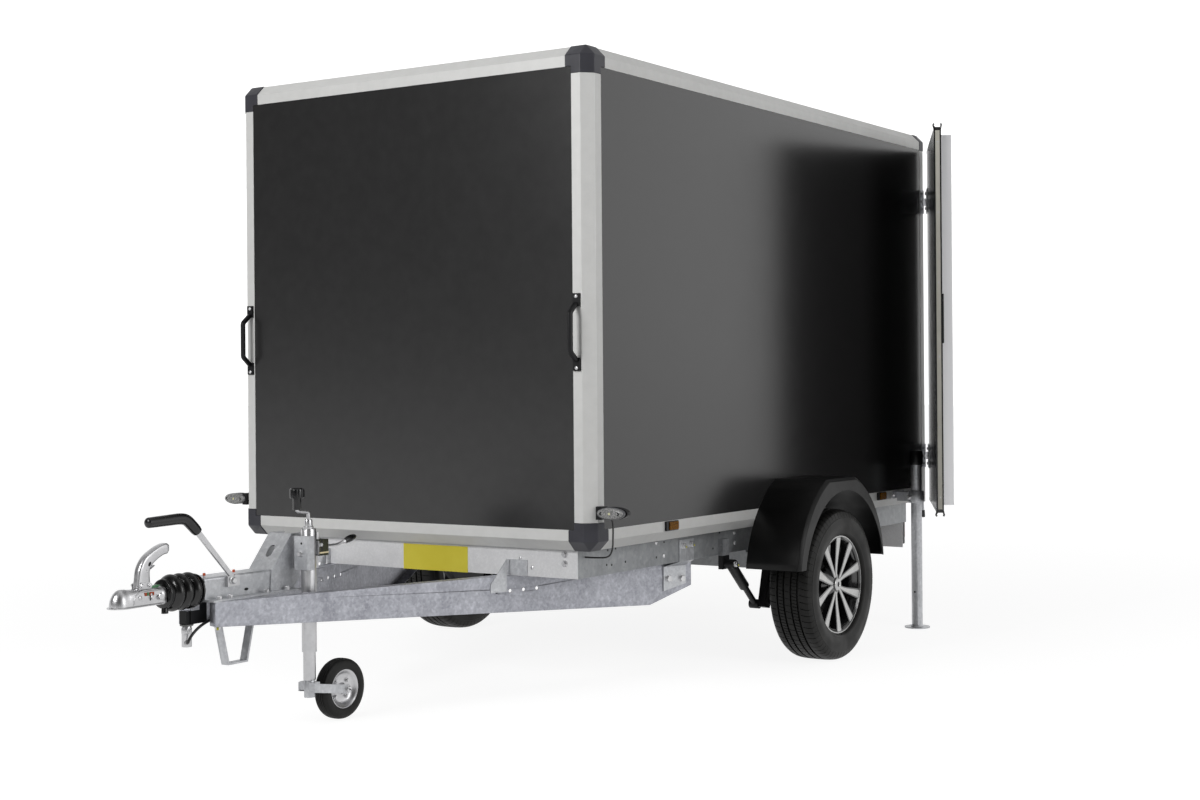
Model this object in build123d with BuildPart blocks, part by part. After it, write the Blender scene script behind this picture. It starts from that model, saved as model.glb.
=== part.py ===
"""Box trailer with twin rear doors: a panelled box on a galvanised chassis with a V drawbar.

Millimetres, +Z up, +X to the trailer's left, -Y to the hitch. The origin is on the ground,
below the middle of the overall length and width.
"""

import os
from math import atan2, cos, hypot, pi, radians, sin, tan

from build123d import *

# Box body. Distances along the trailer are counted from the box's front face.
BOX_WIDTH = 1616
BOX_LENGTH = 2706
BOX_BOTTOM = 539
BOX_TOP = 2233
WALL = 20
PANEL_RECESS = 1
FLOOR_THICKNESS = 18
PROFILE_LEG = 72
PROFILE_CHAMFER = 35
CAP_REACH = 96
CAP_PROUD = 2
REAR_POST_WIDTH = 55
REAR_POST_DEPTH = 40
REAR_HEADER = 80
REAR_CAP_HEIGHT = 74

# Rear doors
DOOR_THICKNESS = 28
DOOR_GAP = 12
DOOR_SILL = 9
DOOR_HEADROOM = 77
DOOR_EDGE_INSET = 8
DOOR_MEETING_GAP = 6
DOOR_OPEN_DEG = 244
HINGE_OUTBOARD = 22
HINGE_RADIUS = 9
HINGE_PIN_RADIUS = 5
HINGE_PIN_CLEARANCE = 0.3
HINGE_HEIGHT = 108
HINGE_ABOVE_SILL = 204
HINGE_BELOW_HEAD = 232
HINGE_STRAP = 95
HINGE_PLATE = 4
HINGE_LAP = 8
HINGE_SLIT = 1
EAR_LAP = 16
EAR_DEPTH = 4
LOCK_BAR_DEPTH = 45
LOCK_BAR_WIDTH = 40
LOCK_BAR_INSET = 30
ROD_RADIUS = 8
ROD_STANDOFF = 14
ROD_FROM_EDGE = 70
ROD_OVERRUN = 6
ROD_GUIDE = 36
ROD_GUIDE_HEIGHT = 30
ROD_GUIDE_INSET = 120
ROD_HANDLE_HEIGHT = 640
ROD_HANDLE_REACH = 300
ROD_HANDLE_GAUGE = 8
ROD_HANDLE_DEPTH = 26

# Chassis
MEMBER_INSET = 98
MEMBER_FLANGE = 50
SHEET_GAUGE = 3
CHASSIS_BOTTOM = 440
SHEET_SETBACK = 54
CROSS_MEMBER_HEIGHT = 80
CROSS_MEMBER_FLANGE = 40
CROSS_MEMBER_BEHIND_BEAMS = 77
CROSS_MEMBER_BEHIND_WHEELS = 475
CROSS_MEMBER_FROM_REAR = 106

# Drawbar: each beam's outer face runs from the hitch end back under the box
BEAM_FRONT_X = 80
BEAM_FRONT = 976
BEAM_INSET = 26
BEAM_REAR = 828
BEAM_FLANGE = 40
BEAM_FRONT_HEIGHT = 76
BEAM_KINK = 1704
BEAM_KINK_HEIGHT = 158
BEAM_REAR_HEIGHT = 99
BEAM_HOLE_RADIUS = 6
BEAM_HOLE_DROP = 54
BEAM_HOLE_PITCH = 56
BEAM_HOLES = 4
BRACKET_GAUGE = 5
BRACKET_LENGTH = 107
BRACKET_FROM_END = 137
BRACKET_RISE = 80
BRACKET_STEP = 22
BRACKET_DROP = 112
SHEET_BRACKET_FOOT = 56
SHEET_BRACKET_LENGTH = 66
SHEET_BRACKET_LIP = 16
SHEET_BRACKET_PLATE = 76
SHEET_BRACKET_LAP = 16
STRAP_WIDTH = 30
STRAP_GAUGE = 6
STRAP_PLACE = 820
STRAP_DROP = 214
STRAP_SPREAD = 92
STRAP_FOOT = 42

# Overrun device and coupling, all at the middle of the drawbar
NOSE = 1310
CUP_DROP = 11
BALL_RADIUS = 25
CUP_WALL = 6
CUP_SKIRT = 15
HEAD_FLANGE = 6
HEAD_FLANGE_GAUGE = 6
HEAD_CROWN = 40
HEAD_NECK = 25
HEAD_ROUNDING = 16
HEAD_OVERLAP = 20
HANDLE_HALF_WIDTH = 15
HANDLE_OUTLINE = (
    (33, 0),
    (38, 31),
    (53, 82),
    (75, 93),
    (135, 125),
    (164, 129),
    (180, 114),
    (170, 98),
    (138, 80),
    (107, 70),
    (98, 50),
    (101, 12),
    (101, 0),
)
HANDLE_ROUNDING = 9
HOUSING_HALF_WIDTH = 45
HOUSING_HEIGHT = 73
HOUSING_FRONT = 985
HOUSING_REAR = 610
HOUSING_PLATE = 6
HOUSING_PLATE_HALF_WIDTH = 85
HOUSING_ROUNDING = 8
GUSSET_HEIGHT = 109
GUSSET_FOOT = 96
GUSSET_HEAD = 7
GUSSET_TOE = 6
GUSSET_PLATE = 7
GUSSET_HOLE = (46, 26)
SHAFT_RADIUS = 25
SHAFT_RISE = 36
BELLOWS_FRONT = 1115
BELLOWS_COLLAR = 18
BELLOWS_COLLAR_RADIUS = 44
BELLOWS_RADIUS = 57
BELLOWS_VALLEY = 12
BELLOWS_RINGS = 3
HANDBRAKE_X = 52
HANDBRAKE_GAUGE = 8
HANDBRAKE_GRIP = 13
HANDBRAKE_BEND = 30
HANDBRAKE_PAD_FRONT = 900
HANDBRAKE_PAD_REAR = 850
HANDBRAKE_PAD_DROP = 35
HANDBRAKE_FOOT_FRONT = 892
HANDBRAKE_FOOT_REAR = 868
HANDBRAKE_FOOT_DROP = 7
HANDBRAKE_ARM_FRONT = 1040
HANDBRAKE_ARM_REAR = 1026
HANDBRAKE_ARM_RISE = 155
HANDBRAKE_ARM_SLANT = 12
GRIP_START = 1020
GRIP_START_RISE = 147
GRIP_KNUCKLE = 1068
GRIP_KNUCKLE_RISE = 191
GRIP_END = 1205
GRIP_END_RISE = 187

# Parking holder for the plug, with the plug in it and its cable
HOLDER_X = 18
HOLDER_PLACE = 1020
HOLDER_LAP = 30
HOLDER_HEIGHT = 41
HOLDER_GAUGE = 3
PLUG_BELLOWS_GAP = 25
PLUG_RADIUS = 15
PLUG_LENGTH = 66
PLUG_OUTLET_DEG = 40
PLUG_OUTLET_RADIUS = 7
PLUG_OUTLET_REACH = 22
CABLE_RADIUS = 4.5

# Jockey wheel
JOCKEY_FROM_HOUSING = 60
JOCKEY = 596
JOCKEY_TUBE_RADIUS = 24
JOCKEY_TUBE_WALL = 4
JOCKEY_STEM_RADIUS = 18
JOCKEY_WHEEL_RADIUS = 100
JOCKEY_TYRE_WIDTH = 50
JOCKEY_RIM_RADIUS = 52
JOCKEY_RIM_RECESS = 12
JOCKEY_TRAIL = 140
JOCKEY_TUBE_BOTTOM = 240
JOCKEY_TUBE_TOP = 625
JOCKEY_SHAFT_BOTTOM = 149
JOCKEY_SHAFT_TOP = 525
JOCKEY_STEM_BOTTOM = 93
JOCKEY_PIN_RADIUS = 8
JOCKEY_PIN_CLEARANCE = 0.3
FORK_GAUGE = 5
FORK_GAP = 6
FORK_HEIGHT = 29
FORK_RISE = 26
FORK_BRIDGE_TOP = 143
CRANK_RADIUS = 6
CRANK_RISE = 66
CRANK_THROW = 51
CRANK_STEP = 14
CRANK_GRIP_RADIUS = 12
CRANK_GRIP_LENGTH = 66
CLAMP_BEHIND = 45
CLAMP_AHEAD = 15
CLAMP_LOW = 508
CLAMP_HIGH = 614
CLAMP_LEVER_HEIGHT = 575
CLAMP_BOX_HEIGHT = 46
CLAMP_BOX_REACH = 62
CLAMP_LEVER_RADIUS = 5
CLAMP_LEVER_STRAIGHT = 70
CLAMP_LEVER_END = 168
CLAMP_LEVER_RISE = 9
CLAMP_GRIP_LENGTH = 62
CLAMP_GRIP_RADIUS = 9

# Road wheels and axle
WHEEL_OUT = 122
WHEEL_PLACE = 1425
TYRE_RADIUS = 298
TYRE_WIDTH = 188
TYRE_SHOULDER = 14
TYRE_CROWN = 2
BEAD_HEIGHT = 18
RIM_RADIUS = 177.8
RIM_WIDTH = 140
RIM_FLANGE = 16
RIM_LIP = 6
RIM_WALL = 8
SPOKES = 10
SPOKE_AT_HUB = 12
SPOKE_AT_RIM = 34
SPOKE_DEPTH = 20
SPOKE_SETBACK = 22
HUB_RADIUS = 30
HUB_BOSS = 62
HUB_BOSS_DEPTH = 16
HUB_CLEARANCE = 0.3
ARM_TRAIL = 155
ARM_INSET = 60
ARM_GAUGE = 32
ARM_AXLE_BOSS = 42
ARM_WHEEL_BOSS = 34
AXLE_DROP = 38
AXLE_TUBE = 72
AXLE_BRACKET = 140
AXLE_LAP = 8
DRUM_RADIUS = 118
DRUM_WIDTH = 56
DRUM_INSET = 52
STUB_RADIUS = 28
STUB_LAP = 2
SPINDLE_RADIUS = 20
SPINDLE_REACH = 44
SHOCK_OUT = 40
SHOCK_AHEAD = 260
SHOCK_DROP = 35
SHOCK_FOOT_AHEAD = 72
SHOCK_FOOT = 232
SHOCK_RADIUS = 20
SHOCK_ROD_RADIUS = 12
SHOCK_EYE_RADIUS = 18
SHOCK_EYE_WIDTH = 40
SHOCK_BODY_SHARE = 0.55
SHOCK_BRACKET_HALF = 25
SHOCK_BRACKET_RISE = 60
LEVER_FOOT = 215
LEVER_LEAN = 48
LEVER_STEP = 10
BRAKE_ROD_RADIUS = 5
BRAKE_ROD_HEIGHT = 345
BRAKE_YOKE = 690

# Mudguards
MUDGUARD_WIDTH = 234
MUDGUARD_FRONT = 401
MUDGUARD_REAR = 343
MUDGUARD_TOP_FRONT = 153
MUDGUARD_TOP_REAR = 87
MUDGUARD_BOTTOM_RISE = 90
MUDGUARD_TOP_GAP = 124
MUDGUARD_GAUGE = 4
MUDGUARD_LIP = 3
MUDGUARD_CHAMFER = 12
GUARD_SHOULDER_FRONT = (0.76, 0.645)
GUARD_SHOULDER_REAR = (0.71, 0.69)
ARCH_HALF_LENGTH = 347
ARCH_HEIGHT = 373
ARCH_AHEAD = 12

# Corner steadies
LEG_OUT = 92
LEG_FROM_REAR = 306
LEG_RADIUS = 24
LEG_HEIGHT = 782
LEG_FOOT_RADIUS = 56
LEG_FOOT_GAUGE = 6
LEG_CAP_PROUD = 4
LEG_CAP_HEIGHT = 36
CLAMP_ABOVE_BOX = 43
CLAMP_RING = 10
CLAMP_RING_HEIGHT = 52
CLAMP_PLATE_LENGTH = 120
CLAMP_PLATE_HEIGHT = 30
CLAMP_ARM_WIDTH = 28
CLAMP_ARM_HEIGHT = 40
CLAMP_HANDLE_RADIUS = 6
SLIDE_CLEARANCE = 0.5

# Lamps and grab handles
MARKER_ABOVE_CAP = 13
MARKER_PLACE = 58
MARKER_OUT = 60
MARKER_HALF_LENGTH = 55
MARKER_HALF_HEIGHT = 21
MARKER_DEPTH = 20
MARKER_ARM = 22
MARKER_ARM_WIDTH = 36
MARKER_CABLE_RADIUS = 3
SIDE_LAMP_PLACE = 490
SIDE_LAMP_FROM_REAR = 480
SIDE_LAMP_LENGTH = 80
SIDE_LAMP_HEIGHT = 34
SIDE_LAMP_RISE = 37
SIDE_LAMP_DEPTH = 8
GRAB_INSET = 54
GRAB_LOW = 1165
GRAB_HIGH = 1380
GRAB_DEPTH = 42
GRAB_RADIUS = 9
GRAB_BEND = 14
GRAB_FOOT = (28, 7, 44)
LAMP_BOARD_FROM_REAR = 34
LAMP_BOARD_LOW = 325
LAMP_BOARD_HIGH = 478
REAR_LAMP_INSET = 2
REAR_LAMP_LENGTH = 145
REAR_LAMP_LOW = 340
REAR_LAMP_HIGH = 450
REAR_LAMP_DEPTH = 25

# Worked out from the sizes above
half = BOX_WIDTH / 2
member_half = half - MEMBER_INSET
hinge_x = half + HINGE_OUTBOARD
hinge_place = BOX_LENGTH + DOOR_GAP + DOOR_THICKNESS / 2
rear_reach = hinge_place + HINGE_RADIUS
front = (NOSE - rear_reach) / 2
door_bottom = BOX_BOTTOM + DOOR_SILL
door_top = BOX_TOP - DOOR_HEADROOM
hinge_heights = (door_bottom + HINGE_ABOVE_SILL, door_top - HINGE_BELOW_HEAD)
floor_bottom = BOX_BOTTOM + WALL
floor_top = floor_bottom + FLOOR_THICKNESS
rear_frame_front = BOX_LENGTH - REAR_POST_DEPTH
middle_height = (BOX_BOTTOM + BOX_TOP) / 2
housing_top = CHASSIS_BOTTOM + HOUSING_HEIGHT
shaft_height = CHASSIS_BOTTOM + SHAFT_RISE
cup_height = shaft_height - CUP_DROP
cup_outer = BALL_RADIUS + CUP_WALL
cup_centre = NOSE - cup_outer - HEAD_FLANGE
jockey_x = HOUSING_HALF_WIDTH + JOCKEY_FROM_HOUSING
wheel_x = half + WHEEL_OUT
axle_place = WHEEL_PLACE - ARM_TRAIL
axle_height = CHASSIS_BOTTOM - AXLE_DROP
leg_x = half + LEG_OUT
leg_place = BOX_LENGTH - LEG_FROM_REAR
clamp_height = BOX_BOTTOM + CLAMP_ABOVE_BOX
marker_height = BOX_BOTTOM + CAP_REACH + MARKER_ABOVE_CAP + MARKER_HALF_HEIGHT
beam_rear_x = member_half - BEAM_INSET
beam_run = BEAM_FRONT + BEAM_REAR
beam_spread = beam_rear_x - BEAM_FRONT_X
beam_length = hypot(beam_run, beam_spread)
beam_angle = atan2(beam_spread, beam_run)
bevel = WALL * tan(radians(22.5))
SIDES = (1, -1)

os.makedirs("parts", exist_ok=True)


def save(builder, name):
    """Label a finished piece and write it."""
    builder.part.label = name
    export_step(builder.part, f"parts/{name}.step")


def at(x, place, z):
    """A point whose distance along the trailer is counted from the box's front face."""
    return (x, front + place, z)


def block(low, high, mode=Mode.ADD):
    """A box between two opposite corners, the distance along being counted from the front face."""
    middle = [(a + b) / 2 for a, b in zip(low, high)]
    size = [abs(b - a) for a, b in zip(low, high)]
    with Locations(at(*middle)):
        Box(*size, mode=mode)


def rail_plane(corner, along, inward_1, inward_2):
    """Plane across a rail's end, with both of its axes pointing in from the outer edge."""
    straight = Vector(*along).cross(Vector(*inward_1)).dot(Vector(*inward_2)) > 0
    return Plane(origin=corner, x_dir=inward_1 if straight else inward_2, z_dir=along)


def edge_profile(plane, length):
    """Aluminium edge profile: an L with its outer corner chamfered."""
    knee = PROFILE_CHAMFER + bevel
    with BuildSketch(plane) as section:
        Polygon(
            (PROFILE_CHAMFER, 0),
            (PROFILE_LEG, 0),
            (PROFILE_LEG, WALL),
            (knee, WALL),
            (WALL, knee),
            (WALL, PROFILE_LEG),
            (0, PROFILE_LEG),
            (0, PROFILE_CHAMFER),
            align=None,
        )
    extrude(section.sketch, amount=length)


def beam_plane(side):
    """Upright plane of a drawbar beam's outer face, x along the beam from its hitch end."""
    along = (side * sin(beam_angle), cos(beam_angle), 0)
    outward = (cos(beam_angle), -side * sin(beam_angle), 0)
    return Plane(origin=at(side * BEAM_FRONT_X, -BEAM_FRONT, 0), x_dir=along, z_dir=outward)


# ---- box body ----

rail_length = rear_frame_front - CAP_REACH
cross_length = BOX_WIDTH - 2 * CAP_REACH
post_length = BOX_TOP - BOX_BOTTOM - 2 * CAP_REACH
with BuildPart() as edge_profiles:
    for side in SIDES:
        for height, up in ((BOX_BOTTOM, 1), (BOX_TOP, -1)):
            end = at(side * half, CAP_REACH, height)
            edge_profile(rail_plane(end, (0, 1, 0), (-side, 0, 0), (0, 0, up)), rail_length)
        foot = at(side * half, 0, BOX_BOTTOM + CAP_REACH)
        edge_profile(rail_plane(foot, (0, 0, 1), (-side, 0, 0), (0, 1, 0)), post_length)
    for height, up in ((BOX_BOTTOM, 1), (BOX_TOP, -1)):
        end = at(-half + CAP_REACH, 0, height)
        edge_profile(rail_plane(end, (1, 0, 0), (0, 1, 0), (0, 0, up)), cross_length)
save(edge_profiles, "edge_profiles")

with BuildPart() as corner_caps:
    outer = (half + CAP_PROUD, -CAP_PROUD, BOX_BOTTOM - CAP_PROUD)
    reach = (half - CAP_REACH, CAP_REACH, BOX_BOTTOM + CAP_REACH)
    leg = (half - PROFILE_LEG, PROFILE_LEG, BOX_BOTTOM + PROFILE_LEG)
    block(outer, (reach[0], leg[1], leg[2]))
    block(outer, (leg[0], reach[1], leg[2]))
    block(outer, (leg[0], leg[1], reach[2]))
    block((half - WALL, WALL, BOX_BOTTOM + WALL), reach, mode=Mode.SUBTRACT)
    tip = at(*outer)
    meeting = corner_caps.edges().filter_by(lambda edge: edge.distance_to(tip) < 0.01)
    chamfer(meeting, PROFILE_CHAMFER)
    mirror(about=Plane.XY.offset(middle_height))
    block(
        (half + CAP_PROUD, rear_frame_front, BOX_TOP + CAP_PROUD),
        (half - REAR_POST_WIDTH, BOX_LENGTH + CAP_PROUD, BOX_TOP - REAR_CAP_HEIGHT),
    )
    rear_tip = at(half + CAP_PROUD, BOX_LENGTH / 2, BOX_TOP + CAP_PROUD)
    upper_edges = corner_caps.edges().filter_by(Axis.Y).filter_by(
        lambda edge: abs(edge.center().X - rear_tip[0]) < 0.01
        and abs(edge.center().Z - rear_tip[2]) < 0.01
    )
    chamfer(upper_edges, PROFILE_CHAMFER)
    mirror(about=Plane.YZ)
save(corner_caps, "corner_caps")

panel_outer = half - PANEL_RECESS
panel_low = BOX_BOTTOM + PROFILE_LEG
panel_high = BOX_TOP - PROFILE_LEG
for side, name in ((1, "left_side_panel"), (-1, "right_side_panel")):
    with BuildPart() as side_panel:
        block(
            (side * panel_outer, PROFILE_LEG, panel_low),
            (side * (half - WALL), rear_frame_front, panel_high),
        )
    save(side_panel, name)

with BuildPart() as front_panel:
    block((-half + PROFILE_LEG, PANEL_RECESS, panel_low), (half - PROFILE_LEG, WALL, panel_high))
save(front_panel, "front_panel")

with BuildPart() as roof_panel:
    block(
        (-half + PROFILE_LEG, PROFILE_LEG, BOX_TOP - WALL),
        (half - PROFILE_LEG, rear_frame_front, BOX_TOP - PANEL_RECESS),
    )
save(roof_panel, "roof_panel")

floor_inset = PROFILE_CHAMFER + bevel
with BuildPart() as floor:
    block(
        (-half + floor_inset, floor_inset, floor_bottom),
        (half - floor_inset, rear_frame_front, floor_top),
    )
save(floor, "floor")

with BuildPart() as rear_frame:
    block((-half, rear_frame_front, BOX_BOTTOM), (half, BOX_LENGTH, BOX_TOP))
    block(
        (-half + REAR_POST_WIDTH, rear_frame_front, floor_top),
        (half - REAR_POST_WIDTH, BOX_LENGTH, BOX_TOP - REAR_HEADER),
        mode=Mode.SUBTRACT,
    )
    for side in SIDES:
        block(
            (side * half, rear_frame_front, BOX_TOP),
            (side * (half - REAR_POST_WIDTH), BOX_LENGTH, BOX_TOP - REAR_CAP_HEIGHT),
            mode=Mode.SUBTRACT,
        )
save(rear_frame, "rear_frame")

# ---- rear doors, standing open ----

leaf_width = half - DOOR_EDGE_INSET - DOOR_MEETING_GAP / 2
leaf_start = HINGE_OUTBOARD + DOOR_EDGE_INSET
leaf_end = leaf_start + leaf_width
half_leaf = DOOR_THICKNESS / 2


def door_plane(side, height):
    """Level plane at a hinge axis, x along the open leaf."""
    open_angle = radians(DOOR_OPEN_DEG - 180)
    along = (side * cos(open_angle), -sin(open_angle), 0)
    return Plane(origin=at(side * hinge_x, hinge_place, height), x_dir=along, z_dir=(0, 0, 1))


def leaf_block(side, near, far, inner, outer, low, high, mode=Mode.ADD):
    """A box on a door leaf: near and far along it, inner and outer across it."""
    # In the left door's plane the outer face lies towards local -y, in the right door's to +y.
    with BuildSketch(door_plane(side, low)) as section:
        with Locations(((near + far) / 2, -side * (inner + outer) / 2)):
            Rectangle(far - near, abs(outer - inner))
    extrude(section.sketch, amount=high - low, mode=mode)


for side, word in ((1, "left"), (-1, "right")):
    with BuildPart() as leaf:
        leaf_block(side, leaf_start, leaf_end, -half_leaf, half_leaf, door_bottom, door_top)
    save(leaf, f"{word}_door_leaf")

    with BuildPart() as lock_bar:
        bar_end = leaf_end - LOCK_BAR_INSET
        leaf_block(
            side,
            bar_end - LOCK_BAR_WIDTH,
            bar_end,
            -half_leaf - LOCK_BAR_DEPTH,
            -half_leaf,
            door_bottom + LOCK_BAR_INSET,
            door_top - LOCK_BAR_INSET,
        )
    save(lock_bar, f"{word}_lock_bar")

    with BuildPart() as hinge_straps:
        for centre in hinge_heights:
            for low in (centre - HINGE_HEIGHT / 2, centre + HINGE_HEIGHT / 6 + HINGE_SLIT):
                high = low + HINGE_HEIGHT / 3 - HINGE_SLIT
                lap = half_leaf - HINGE_LAP
                leaf_block(side, 0, leaf_start, lap, half_leaf + HINGE_PLATE, low, high)
                with BuildSketch(door_plane(side, low)):
                    Circle(HINGE_RADIUS)
                extrude(amount=high - low)
            low = centre - HINGE_HEIGHT / 2
            leaf_block(
                side,
                leaf_start,
                leaf_start + HINGE_STRAP,
                half_leaf,
                half_leaf + HINGE_PLATE,
                low,
                low + HINGE_HEIGHT,
            )
            with BuildSketch(door_plane(side, low)):
                Circle(HINGE_PIN_RADIUS + HINGE_PIN_CLEARANCE)
            extrude(amount=HINGE_HEIGHT, mode=Mode.SUBTRACT)
    save(hinge_straps, f"{word}_hinge_straps")

with BuildPart() as hinge_brackets:
    third = HINGE_HEIGHT / 6 - HINGE_SLIT
    plate_face = half + HINGE_PLATE
    for side in SIDES:
        for centre in hinge_heights:
            block(
                (side * half, rear_frame_front, centre - HINGE_HEIGHT / 2),
                (side * plate_face, BOX_LENGTH, centre + HINGE_HEIGHT / 2),
            )
            with BuildSketch(Plane.XY.offset(centre - third)):
                Polygon(
                    at(side * plate_face, BOX_LENGTH - EAR_LAP, 0)[:2],
                    at(side * (plate_face + EAR_DEPTH), BOX_LENGTH - EAR_LAP, 0)[:2],
                    at(side * (plate_face + 2 * EAR_DEPTH - 1), BOX_LENGTH, 0)[:2],
                    at(side * (hinge_x + EAR_DEPTH), hinge_place - EAR_DEPTH, 0)[:2],
                    at(side * (hinge_x - 1.5 * EAR_DEPTH), hinge_place + 1.5 * EAR_DEPTH, 0)[:2],
                    at(side * plate_face, BOX_LENGTH, 0)[:2],
                    align=None,
                )
            extrude(amount=2 * third)
            with Locations(at(side * hinge_x, hinge_place, centre)):
                Cylinder(HINGE_RADIUS, 2 * third)
                Cylinder(HINGE_PIN_RADIUS, HINGE_HEIGHT)
save(hinge_brackets, "hinge_brackets")

# The second door to close carries the turning rod with its handle on its outer face
rod_centre = leaf_end - ROD_FROM_EDGE
rod_axis = half_leaf + ROD_STANDOFF
handle_height = door_bottom + ROD_HANDLE_HEIGHT
with BuildPart() as lock_rod:
    with BuildSketch(door_plane(-1, door_bottom + ROD_OVERRUN)):
        with Locations((rod_centre, rod_axis)):
            Circle(ROD_RADIUS)
    extrude(amount=door_top - door_bottom - 2 * ROD_OVERRUN)
    guide_heights = (
        door_bottom + ROD_GUIDE_INSET,
        handle_height,
        middle_height,
        door_top - ROD_GUIDE_INSET - ROD_GUIDE_HEIGHT,
    )
    for low in guide_heights:
        leaf_block(
            -1,
            rod_centre - ROD_GUIDE / 2,
            rod_centre + ROD_GUIDE / 2,
            half_leaf,
            rod_axis + ROD_RADIUS / 2,
            low,
            low + ROD_GUIDE_HEIGHT,
        )
    leaf_block(
        -1,
        rod_centre - ROD_HANDLE_REACH,
        rod_centre,
        rod_axis,
        rod_axis + ROD_HANDLE_GAUGE,
        handle_height - ROD_HANDLE_DEPTH,
        handle_height,
    )
save(lock_rod, "right_lock_rod")

# ---- chassis ----

web = member_half - SHEET_GAUGE
member_front = SHEET_SETBACK + SHEET_GAUGE
cross_member_places = (
    BEAM_REAR + CROSS_MEMBER_BEHIND_BEAMS,
    WHEEL_PLACE + CROSS_MEMBER_BEHIND_WHEELS,
    BOX_LENGTH - CROSS_MEMBER_FROM_REAR,
)
with BuildPart() as chassis_frame:
    for side in SIDES:
        block(
            (side * member_half, member_front, CHASSIS_BOTTOM),
            (side * web, BOX_LENGTH, floor_bottom),
        )
        for low in (CHASSIS_BOTTOM, floor_bottom - SHEET_GAUGE):
            block(
                (side * web, member_front, low),
                (side * (member_half - MEMBER_FLANGE), rear_frame_front, low + SHEET_GAUGE),
            )
    for place in cross_member_places:
        low = floor_bottom - CROSS_MEMBER_HEIGHT
        block((-web, place, low), (web, place + SHEET_GAUGE, floor_bottom))
        block((-web, place, low), (web, place + CROSS_MEMBER_FLANGE, low + SHEET_GAUGE))
    for near, far in ((member_front, PROFILE_LEG), (rear_frame_front, BOX_LENGTH)):
        block(
            (-member_half, near, BOX_BOTTOM),
            (member_half, far, floor_bottom),
            mode=Mode.SUBTRACT,
        )
save(chassis_frame, "chassis_frame")

with BuildPart() as front_sheet:
    block(
        (-member_half, SHEET_SETBACK, CHASSIS_BOTTOM),
        (member_half, SHEET_SETBACK + SHEET_GAUGE, BOX_BOTTOM),
    )
save(front_sheet, "front_sheet")

# Where the beams pass under the front sheet, and how they lie there
sheet_crossing = (BEAM_FRONT + SHEET_SETBACK) / cos(beam_angle)
sheet_crossing_x = BEAM_FRONT_X + (BEAM_FRONT + SHEET_SETBACK) * tan(beam_angle)
hole_height = CHASSIS_BOTTOM - BEAM_HOLE_DROP
with BuildPart() as drawbar_beams:
    for side in SIDES:
        outline = (
            (0, CHASSIS_BOTTOM - BEAM_FRONT_HEIGHT),
            (BEAM_KINK, CHASSIS_BOTTOM - BEAM_KINK_HEIGHT),
            (beam_length, CHASSIS_BOTTOM - BEAM_REAR_HEIGHT),
            (beam_length, CHASSIS_BOTTOM),
            (0, CHASSIS_BOTTOM),
        )
        with BuildSketch(beam_plane(side)):
            Polygon(*outline, align=None)
        extrude(amount=-side * BEAM_FLANGE)
        with BuildSketch(beam_plane(side).offset(-side * SHEET_GAUGE)):
            Polygon(*outline, align=None)
            offset(amount=-SHEET_GAUGE, kind=Kind.INTERSECTION, mode=Mode.REPLACE)
        extrude(amount=-side * (BEAM_FLANGE - SHEET_GAUGE), mode=Mode.SUBTRACT)
        with BuildSketch(beam_plane(side)):
            for number in range(BEAM_HOLES):
                with Locations((sheet_crossing + (number - 1) * BEAM_HOLE_PITCH, hole_height)):
                    Circle(BEAM_HOLE_RADIUS)
        extrude(amount=-side * SHEET_GAUGE, mode=Mode.SUBTRACT)
save(drawbar_beams, "drawbar_beams")


def along_beam(side, distance, height, out=0.0):
    """A point on a beam's outer face, or out beyond it."""
    return beam_plane(side).from_local_coords((distance, height, side * out))


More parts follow.
